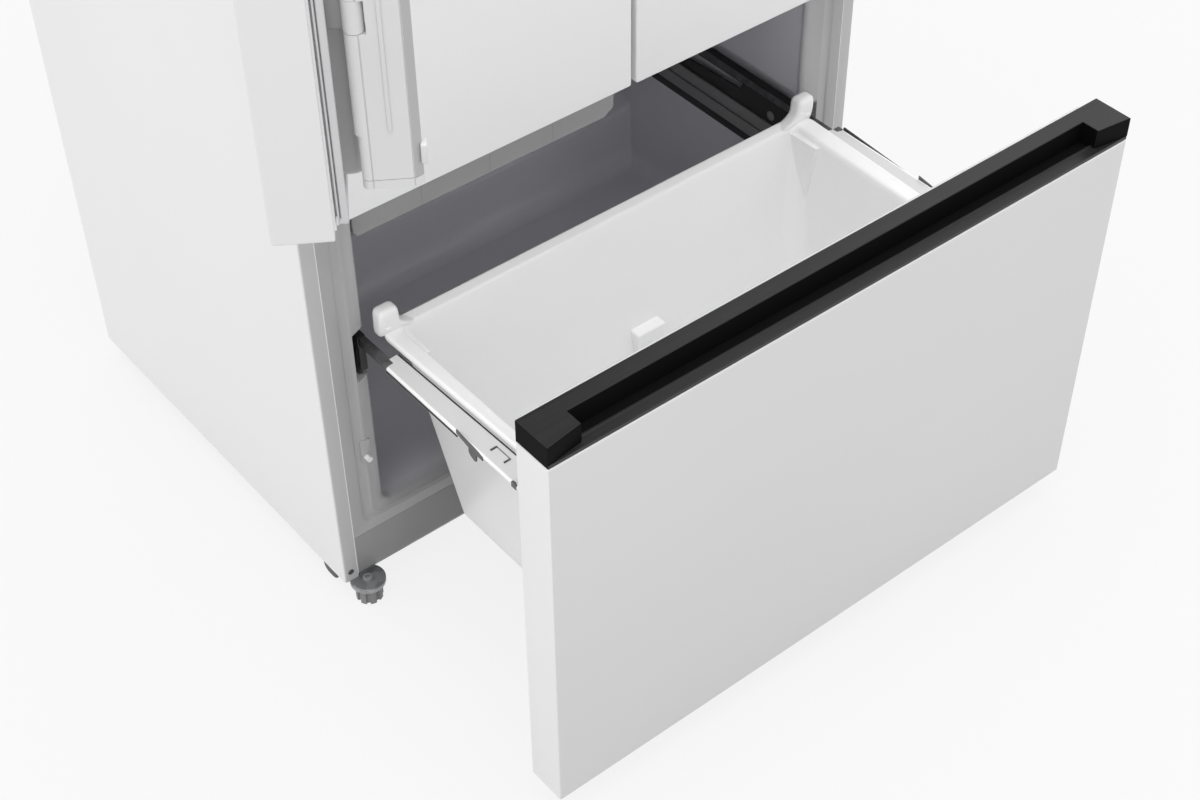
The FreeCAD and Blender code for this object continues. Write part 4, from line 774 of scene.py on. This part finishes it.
# Freezer tub: inside floor, wall, rim and outside, as one closed skin
tub = {
    # half width, front, back, corner radius, height
    "rows": [
        (240, -650, -470, 30, 145), (278, -690, -435, 42, 145), (289, -702, -424, 46, 146.5),
        (296, -709, -416, 48, 151), (299.5, -713, -411, 49, 160), (301, -715, -408, 49, 172),
        (317, -724, -380.3, 36, 300), (334.5, -734, -350, 13, 440),
        (336, -735, -348.6, 13, 446), (338, -736.5, -346.5, 14, 448.6), (341, -738, -344.5, 16, 449.6),
        (355, -743, -337, 24, 451.4), (358, -744.5, -335, 27, 452.4), (360, -745, -333.6, 28, 452.4),
        (361.8, -745.6, -332.4, 28, 451.4), (362.4, -746, -332, 28, 449.5), (362.4, -746, -332, 28, 446.6),
        (361, -745.4, -332.8, 28, 445.8), (342, -739, -342, 20, 445.6), (339.5, -737.5, -344, 18, 441),
        (310.4, -719, -404, 17, 160), (309, -717.5, -406, 16, 150), (306, -714.5, -409, 14, 144),
        (301, -709.5, -414, 11, 141.3), (290, -698, -426, 8, 141), (250, -660, -450, 6, 141),
    ],
    "gusset": [    # a corner web on the inside of the rear wall, as two four-sided rings
        [(336.5, -350.2, 441), (336.5, -403, 441), (328, -401, 441), (326, -350.2, 441)],
        [(324, -370, 345), (324, -392, 345), (322.4, -391, 345), (322.4, -370, 345)],
    ],
    "block": ((8, 58), (-403, -385), (236, 276)),
    "taper": (345, 15, 10, -383, 362),    # where the rim's taper starts across, over what, how far, and along what
}


def addTub(t):
    table = [(-half, half, front, back, radius, height) for half, front, back, radius, height in t["rows"]]
    rings = rectRings(table, "Z", 9)
    # the rim's outer edge draws in as it runs to the front
    start, over, most, rear, length = t["taper"]
    outer = np.clip((np.abs(rings[..., 0]) - start) / over, 0, 1)
    ahead = np.clip((rear - rings[..., 1]) / length, 0, 1)
    rings[..., 0] -= np.sign(rings[..., 0]) * most * outer * ahead
    addPiece("freezerTub", [loft(rings)], "freezer_drawer", "tub_plastic", "white_plastic",
             ["freezer_tub"], crease=50)
    web = loft(t["gusset"])
    addPiece("tubWebs", [web, mirrored(web)], "freezer_drawer", "tub_plastic", "white_plastic", edge=1)
    x, y, z = t["block"]
    addPiece("tubBlock", [slab(x, y, z, 2.5, 4, 0.5)], "freezer_drawer", "tub_plastic", "white_plastic")


addTub(tub)

# Rear posts of the tub: round-topped columns that flare into the rear rim
tubPost = {
    # inner and outer edge, front, back, corner radius, height, for the right post
    "rows": [
        (314, 366.5, -350, -332.6, 5, 449.5), (322, 367, -351, -332.4, 6, 452.5), (329, 367.3, -352, -332.4, 6, 456),
        (334, 367.6, -353, -332.6, 6.5, 461), (336.5, 367.6, -354, -333, 6.5, 467),
        (337.5, 367.4, -354.4, -333, 6, 476), (338, 367, -354.2, -333.2, 6, 482),
        (339, 366, -353.4, -334, 5.6, 485.6), (341.5, 363.6, -351, -336.2, 4.4, 488), (345, 360, -348, -339.4, 3, 489),
    ],
    "pads": [((352, 360), (-355, -352.6), (458, 463)), ((341, 346), (-354.8, -352.4), (466, 470))],
}


def addPosts(t):
    post = loft(rectRings(np.array(t["rows"], float), "Z", 6))
    shells = [post, *(slab(x, y, z, 0.8, 2, 0.2) for x, y, z in t["pads"])]
    for hand, sign in reversed(hands):
        addPiece(hand + "TubPost", handed(shells, sign), "freezer_drawer", "tub_plastic", "white_plastic", crease=60)


addPosts(tubPost)
print("tub done")

# Drawer runners: a sloped strip beside the rim that rolls over at its outer edge, a dark rail below it, zinc brackets
runner = {
    "y": (-751, -383),
    "strip": [(362.9, 441.8), (364.4, 441.8), (366, 443.8), (380, 442.4), (385.6, 441.6), (385.6, 440.5), (379, 440.5),
              (362.9, 440.3)],
    "stripRows": [(-751, 400), (-393, 400), (-388, 386.5), (-384.6, 383), (-383, 377)],    # its rear corner is rounded
    "innerEdge": 367,    # what lies within it follows the taper of the tub's rim
    "roll": [(385.3, 441.4), (386.4, 442), (387.8, 441.6), (388.8, 440.2), (388.9, 438), (388, 436.2), (386.4, 435.4),
             (385.3, 436)],
    "rollEnd": -393,
    "paintedShadowLine": [(362.5, 441.4), (364.5, 441.4), (364.5, 442.1), (362.5, 442.1)],
    "web": [(368.6, 425), (372.4, 425), (372.4, 441), (368.6, 441)],
    "rail": [(385.5, 433.8), (391.6, 433.8), (392, 434.4), (392, 436.2), (389, 436.8), (388.6, 435.2), (385.5, 435.1)],
    "railReach": {1: 392, -1: 389.2},    # the left rail is nearly covered
    "railLift": {1: 8, -1: 0},           # the right rail's top rises to the rear
    "railTop": 436, "railEnds": (-540, -392),
    "hook": [(-540, 447), (-592, 440), (-592, 434), (-580, 434), (-579, 423), (-576, 420.4), (-567, 424), (-564, 428),
             (-564, 435.6), (-540, 441)],
    "corner": [(-657, 436), (-657, 444), (-655, 446), (-650, 446), (-648, 444), (-648, 436)],
    "hookX": (388.1, 389.6), "cornerX": (387.2, 389.4),
    "slot": [((367, 376.6), (-619, -616.6)), ((367, 376.6), (-592.4, -590)), ((367, 367.8), (-619, -590))],
    "slotRise": (441.4, 443.9), "clip": ((377, 388.6), (-392, -384), (440.4, 443.2)),
}


def passing(near, far, ends):
    # one outline that passes into another between two places along Y
    return loft([np.insert(outline, 1, end, axis=1) for outline, end in zip((near, far), ends)])


def addRunner(hand, sign, r):
    *_, draw, rear, length = tub["taper"]
    strip, paintedShadowLine, low = (np.array(r[key], float) for key in ("strip", "paintedShadowLine", "rail"))
    slip = np.where(strip[:, 0] < r["innerEdge"], draw, 0)
    rings = [np.stack([np.minimum(strip[:, 0], wide) - slip * np.clip((rear - y) / length, 0, 1),
                       np.full(len(strip), y), strip[:, 1]], axis=1) for y, wide in r["stripRows"]]
    low[:, 0] = np.minimum(low[:, 0], r["railReach"][sign])
    high = low + np.where(low[:, 1:] > r["railTop"], (0, r["railLift"][sign]), (0, 0))
    # after the rail, a thin dark bar beside the rim's edge: a painted shadow line under the rim
    rails = [passing(low, high, r["railEnds"]), passing(paintedShadowLine - (draw, 0), paintedShadowLine, r["y"])]
    clips = [prism(r["hook"], "X", *r["hookX"]), prism(r["corner"], "X", *r["cornerX"]),
             *[bar(across, along, r["slotRise"]) for across, along in r["slot"]], slab(*r["clip"], 0.6, 1.5, 0.4)]
    pieces = [    # name, shells, finish, slot, node that they stand for, edge, crease
        # the roll is drawn in the tub's whiter plastic: a painted highlight along the white steel's rolled edge
        ("Roll", [prism(r["roll"], "Y", r["y"][0], r["rollEnd"])], "tub_plastic", "white_steel", [], 0, 60),
        ("Strip", [loft(rings), prism(r["web"], "Y", *r["y"])], "white_steel", "white_steel",
         [hand + "_slide_inner"], 0, 40),
        ("Rail", rails, "black_steel", "slide_steel", [], 0.4, 35),
        ("Clips", clips, "clip_steel", "slide_steel", [], 0.2, 35),
    ]
    for name, shells, *rest in pieces:
        addPiece(hand + "Runner" + name, handed(shells, sign), "freezer_drawer", *rest)


# Rails on the freezer's walls: a channel, a black plate that carries it, two lower rails and a round boss
wallRail = {
    "channel": [(373, 423), (385, 423), (385, 440), (373, 440), (373, 438), (383, 438), (383, 425), (373, 425)],
    "y": (-323, 157),
    "plate": [(-318, 318), (-318, 424), (-316, 427), (-196, 425), (-192, 423), (-184, 402), (-80, 396), (60, 390),
              (66, 386), (66, 318)],
    "plateX": (383.2, 385.4), "bracket": ((373.4, 384), (-322.6, -312), (382, 422.6)),
    "rails": ((-320, 150), (379.4, 383.6), ((334.6, 354), (357, 376.6))),
    "boss": (-252, 391),
    "bossShape": [(0.4, 383.4), (7.4, 383.4), (7.4, 382.4), (6.6, 381.6), (3, 381.4), (2.6, 382.2), (0.4, 382.2)],
}


def addWallRail(hand, sign, w):
    channel = prism(w["channel"], "Y", *w["y"])
    addPiece(hand + "RailChannel", handed([channel], sign), "cabinet", "black_steel", "slide_steel",
             [hand + "_slide_outer"], edge=0.5)
    plates = [prism(w["plate"], "X", *w["plateX"]), slab(*w["bracket"], 1, 2, 1)]
    addPiece(hand + "RailPlate", handed(plates, sign), "cabinet", "black_steel", "black_trim", edge=0.4)
    along, across, heights = w["rails"]
    rails = [slab(across, z, along, 1.6, 2, 1.6, "Z") for z in heights]
    rails.append(lathe(w["bossShape"], (0, *w["boss"]), "X", 28))
    addPiece(hand + "WallRails", handed(rails, sign), "cabinet", "grey_plastic", "grey_plastic")


for hand, sign in hands:
    addRunner(hand, sign, runner)
    addWallRail(hand, sign, wallRail)
print("runners done")

# Doors: pieces are drawn shut, as distances along the door from its hinge, behind the hinge and up, then put in place
doors = {
    "hinge": (-444, -383.3), "opened": math.radians(122.7),
    "x": (-10, 440), "y": (-17.7, 38.3), "z": (1010, 1751), "seal": (2, 434, 1022, 1739),
    "bin": ((74, 366), (40.6, 112.3), (1165, 1260)),
    "dyke": ((64, 398), (1046, 1690), [    # inset and height of its wall
        (0, -0.4), (0.2, 4), (1, 21), (1.6, 24), (2.6, 25.6), (3.6, 26),
        (4.4, 26), (5.4, 25.6), (6.4, 24), (7, 21), (7.8, 4), (8, -0.4),
    ]),
    # bearings of the folding bar: heights, the stem's spans and half height, the pin's place, radius and half height
    "ears": (1225, 1575), "stem": ((406.6, 414), (38.6, 73), 15), "pin": (415, 73.3, 9.2, 15.6),
}


def leftPlace(points):
    # turned about the hinge to the photographed angle
    along, behind, up = points.T
    cosine, sine = math.cos(doors["opened"]), math.sin(doors["opened"])
    x = doors["hinge"][0] + along * cosine + behind * sine
    y = doors["hinge"][1] - along * sine + behind * cosine
    return np.stack([x, y, up], axis=1)


def rightPlace(points):
    along, behind, up = points.T
    return np.stack([-doors["hinge"][0] - along, doors["hinge"][1] + behind, up], axis=1)


def addBarBearings(body, place, d):
    # a stem from the panel and a round knuckle about the bar's axis
    across, behind, tall = d["stem"]
    stems = [slab(across, behind, (high - tall, high + tall), 1, 2, 1) for high in d["ears"]]
    # the stems take the kick plate's dark grey: painted shade in the recess beside the bar
    addPiece("barStems", stems, body, "kick_shade_plastic", "white_plastic", move=place)
    *centre, radius, tall = d["pin"]
    turn = np.linspace(0, 2 * np.pi, 40, endpoint=False)
    circle = np.stack([np.cos(turn), np.sin(turn)], axis=1) * radius + centre
    knuckles = [prism(circle, "Z", high - tall, high + tall) for high in d["ears"]]
    addPiece("barKnuckles", knuckles, body, "bar_plastic", "white_plastic", move=place, edge=0.5)


def addDoor(hand, place, d):
    body, far = hand + "_door", d["y"][1] + 2
    addPiece(hand + "DoorSheet", [slab(d["x"], d["y"], d["z"], 3, 3.5, 1.4)], body, "door_paint", "white_paint",
             [hand + "_door_skin"], move=place)
    across, up, wall = d["dyke"]
    dyke = loft(rectRings(ringTable(across, up, np.array(wall) + (0, far), 10), "Y", 5), around=True)
    addPiece(hand + "DoorPanel", [innerPanel(d["x"], d["z"], far, 0.4, 7)], body, "white_plastic", "white_plastic",
             [hand + "_door_liner"], move=place, crease=50)
    # the dyke takes the liner's greyer front tone: painted shade in the recess beside the seal
    addPiece(hand + "DoorDyke", [dyke], body, "liner_plastic_shaded_front", "white_plastic", move=place, crease=50)
    if hand == "left":
        addBarBearings(body, place, d)
    addPiece(hand + "DoorSeal", [gasket(d["seal"][:2], d["seal"][2:], far)], body, "seal_rubber", "seal_rubber",
             [hand + "_door_gasket"], move=place)
    addPiece(hand + "DoorBin", [openBox(*d["bin"], 3, 22)], body, "clear_plastic", "clear_plastic",
             [hand + "_door_bin"], move=place)


addDoor("left", leftPlace, doors)
addDoor("right", rightPlace, doors)

# Folding bar on the left door: round outer edge, two seams and a rib along it, end caps
foldBar = {
    "sides": (406, 424),
    "face": [(424, 75.6), (423, 75.8), (423, 76.7), (424, 76.9), (424, 111.4), (423, 111.6), (423, 112.5), (424, 112.7),
             (418.6, 120.3), (406, 120.3)],
    "faceRadii": (0.05, 1.5, 3.5),    # of the seams and of the last two corners
    "edges": {"full": (64.3, 8.8, 8.8), "narrow": (67, 6.5, 6.5), "short": (83, 1, 1)},    # start and corner radii
    "spans": [("narrow", 1062.4, 1108), ("full", 1108, 1209), ("short", 1209, 1241), ("full", 1241, 1559),
              ("short", 1559, 1591), ("full", 1591, 1620), ("narrow", 1620, 1665.6)],
    "caps": [("narrow", 1053, 1061.8), ("narrow", 1666.2, 1675)],
    "rib": ((92.6, 96.6), (423.4, 425.4), (1113, 1560)),
    "tab": ((411, 423.4), (119, 124.6), (1075, 1096)),
    "strip": ([(424.1, 113), (419, 120.4), (418.5, 120), (423.6, 112.7)], (1062.6, 1665.4)),
}


def barSection(f, kind, low, high):
    # the bar's outline carried up: round at its outer edge, then the part of the seamed face that lies behind that edge
    start, back, front = f["edges"][kind]
    seam, *last = f["faceRadii"]
    face = [spot for spot in f["face"] if spot[1] > start + front - 0.1]
    corners = [(side, start) for side in f["sides"]] + face
    return prism(roundOutline(corners, [back, front, *[seam] * (len(face) - 2), *last], 6), "Z", low, high)


def addFoldBar(f):
    shells = [barSection(f, *span) for span in f["spans"] + f["caps"]]
    behind, along, up = f["rib"]
    shells += [slab(*f["tab"], 1.2, 2.5, 0.6), slab(along, behind, up, 0.9, 1, 0.9)]
    addPiece("foldingBar", shells, "folding_bar", "bar_plastic", "white_plastic", ["flipper"], move=leftPlace,
             edge=0.4, crease=40)
    outline, ends = f["strip"]
    # a strip over the bevel behind the second seam, in the liner's greyer front tone: painted shade on that bevel
    addPiece("foldingBarStrip", [prism(outline, "Z", *ends)], "folding_bar", "liner_plastic_shaded_front", "white_plastic",
             move=leftPlace)


addFoldBar(foldBar)
print("doors done")

# Hinge cover along the top
topCover = {"x": (-452.7, 452.7), "y": (-398.3, -227), "z": (1755.3, 1779)}


def addTopCover(t):
    # rectangles that draw in towards the top as its edge rounds over
    low, high = t["z"]
    rows = [(0, low), (0, high - 5), (0.4, high - 3), (1.5, high - 1.3), (3.2, high - 0.3), (5.5, high)]
    cover = loft(rectRings(ringTable(t["x"], t["y"], rows, 9), "Z", 6))
    addPiece("topCover", [cover], "cabinet", "white_plastic", "white_plastic", ["top_cover"])


addTopCover(topCover)

# Levelling feet: notched foot, bolt with a socket, and the rolled rim of the bracket's round end
foot = {
    "place": (424, -341), "radius": 19, "notch": 3, "count": 8, "share": 0.32, "steps": 160, "z": (0.1, 22),
    "bolt": [(0.3, 22), (7, 22), (7, 36.5), (6.6, 37.6), (5.6, 38), (3.2, 38), (3, 34.6), (0.3, 34.6)],
    "rim": [(22.4, 27.6), (24.2, 27.8), (25, 29.4), (25, 33.6), (24.2, 35), (22.8, 35.5), (21.6, 35.3), (21.6, 34.9),
            (22.6, 34.4)],
}


def addFoot(hand, sign, f):
    # the radius drops by the notch's depth over a share of each of the equal turns
    turn = np.linspace(0, 2 * np.pi, f["steps"], endpoint=False)
    notched = (turn * f["count"] / (2 * np.pi)) % 1 < f["share"]
    radius = np.where(notched, f["radius"] - f["notch"], f["radius"])
    centre = (sign * f["place"][0], f["place"][1], 0)
    outline = np.stack([radius * np.cos(turn), radius * np.sin(turn)], axis=1) + centre[:2]
    shells = [prism(outline, "Z", *f["z"]), lathe(f["bolt"], centre, "Z", 24)]
    addPiece(hand + "Foot", shells, hand + "_levelling_foot", "grey_plastic", "grey_plastic", [hand + "_foot"],
             edge=0.5)
    rim = lathe(f["rim"], centre, "Z", f["steps"], around=True)
    addPiece(hand + "FootRim", [rim], "cabinet", "zinc_sheet", "zinc_sheet")


for hand, sign in hands:
    addFoot(hand, sign, foot)
print("feet done")

# Room: pale floor, soft lamps, white behind everything
room = {
    "ambient": 1.06,
    "floor": {"reach": 9, "drop": 0.0003, "paper": 0.5, "glow": 0.84},
    "lamps": [    # name, place, aim, size, power
        ("topSoftbox", (-0.9, -1.2, 10), (0, -0.3, 0.4), 7.2, 540),
        ("frontSoftbox", (-1.8, -5.6, 9.2), (0, -0.5, 0.5), 5.4, 20),
        ("leftSoftbox", (-9.6, -1.1, 6.8), (0, -0.2, 0.8), 6.6, 40),
    ],
}


def asBackground(finish):
    # 1 for what is seen straight on, through glass or in a gloss, 0 for the light that falls on the object
    camera, through, gloss = (finish.node("LightPath", out="Is " + ray + " Ray")
                              for ray in ("Camera", "Transmission", "Glossy"))
    return (camera + through + gloss) > 0.5


def addSky(r):
    world = bpy.data.worlds.new("room")
    bpy.context.scene.world = world
    sky = Finish("room", world)
    dim, white = (sky.node("Background", {}, {"Color": (1, 1, 1, 1), "Strength": strength})
                  for strength in (r["ambient"], 1.0))
    both = sky.node("MixShader", {}, {0: asBackground(sky), 1: dim, 2: white})
    sky.node("OutputWorld", {}, {"Surface": both})


def addFloor(f):
    # a square about the origin, a hair below the feet
    corners = np.array([(-1, -1, 0), (1, -1, 0), (1, 1, 0), (-1, 1, 0)]) * f["reach"] - (0, 0, f["drop"])
    mesh = bpy.data.meshes.new("floor")
    mesh.from_pydata(corners.tolist(), [], [(0, 1, 2, 3)])
    floor = bpy.data.objects.new("floor", mesh)
    bpy.context.scene.collection.objects.link(floor)
    paper = Finish("floorPaper")
    matt = paper.node("BsdfDiffuse", {}, {"Color": (f["paper"], f["paper"], f["paper"], 1)})
    glow = paper.node("Emission", {}, {"Color": (1, 1, 1, 1), "Strength": 1.0})
    both = paper.node("MixShader", {}, {0: asBackground(paper) * f["glow"], 1: matt, 2: glow})
    paper.node("OutputMaterial", {}, {"Surface": both})
    mesh.materials.append(paper.holder)


def addLamps(lamps):
    for name, place, aim, size, power in lamps:
        data = bpy.data.lights.new(name, "AREA")
        data.size, data.energy = size, power
        lamp = bpy.data.objects.new(name, data)
        lamp.location = place
        lamp.rotation_euler = (Vector(aim) - Vector(place)).to_track_quat("-Z", "Y").to_euler()
        bpy.context.scene.collection.objects.link(lamp)


addSky(room)
addFloor(room["floor"])
addLamps(room["lamps"])
print("room lit")
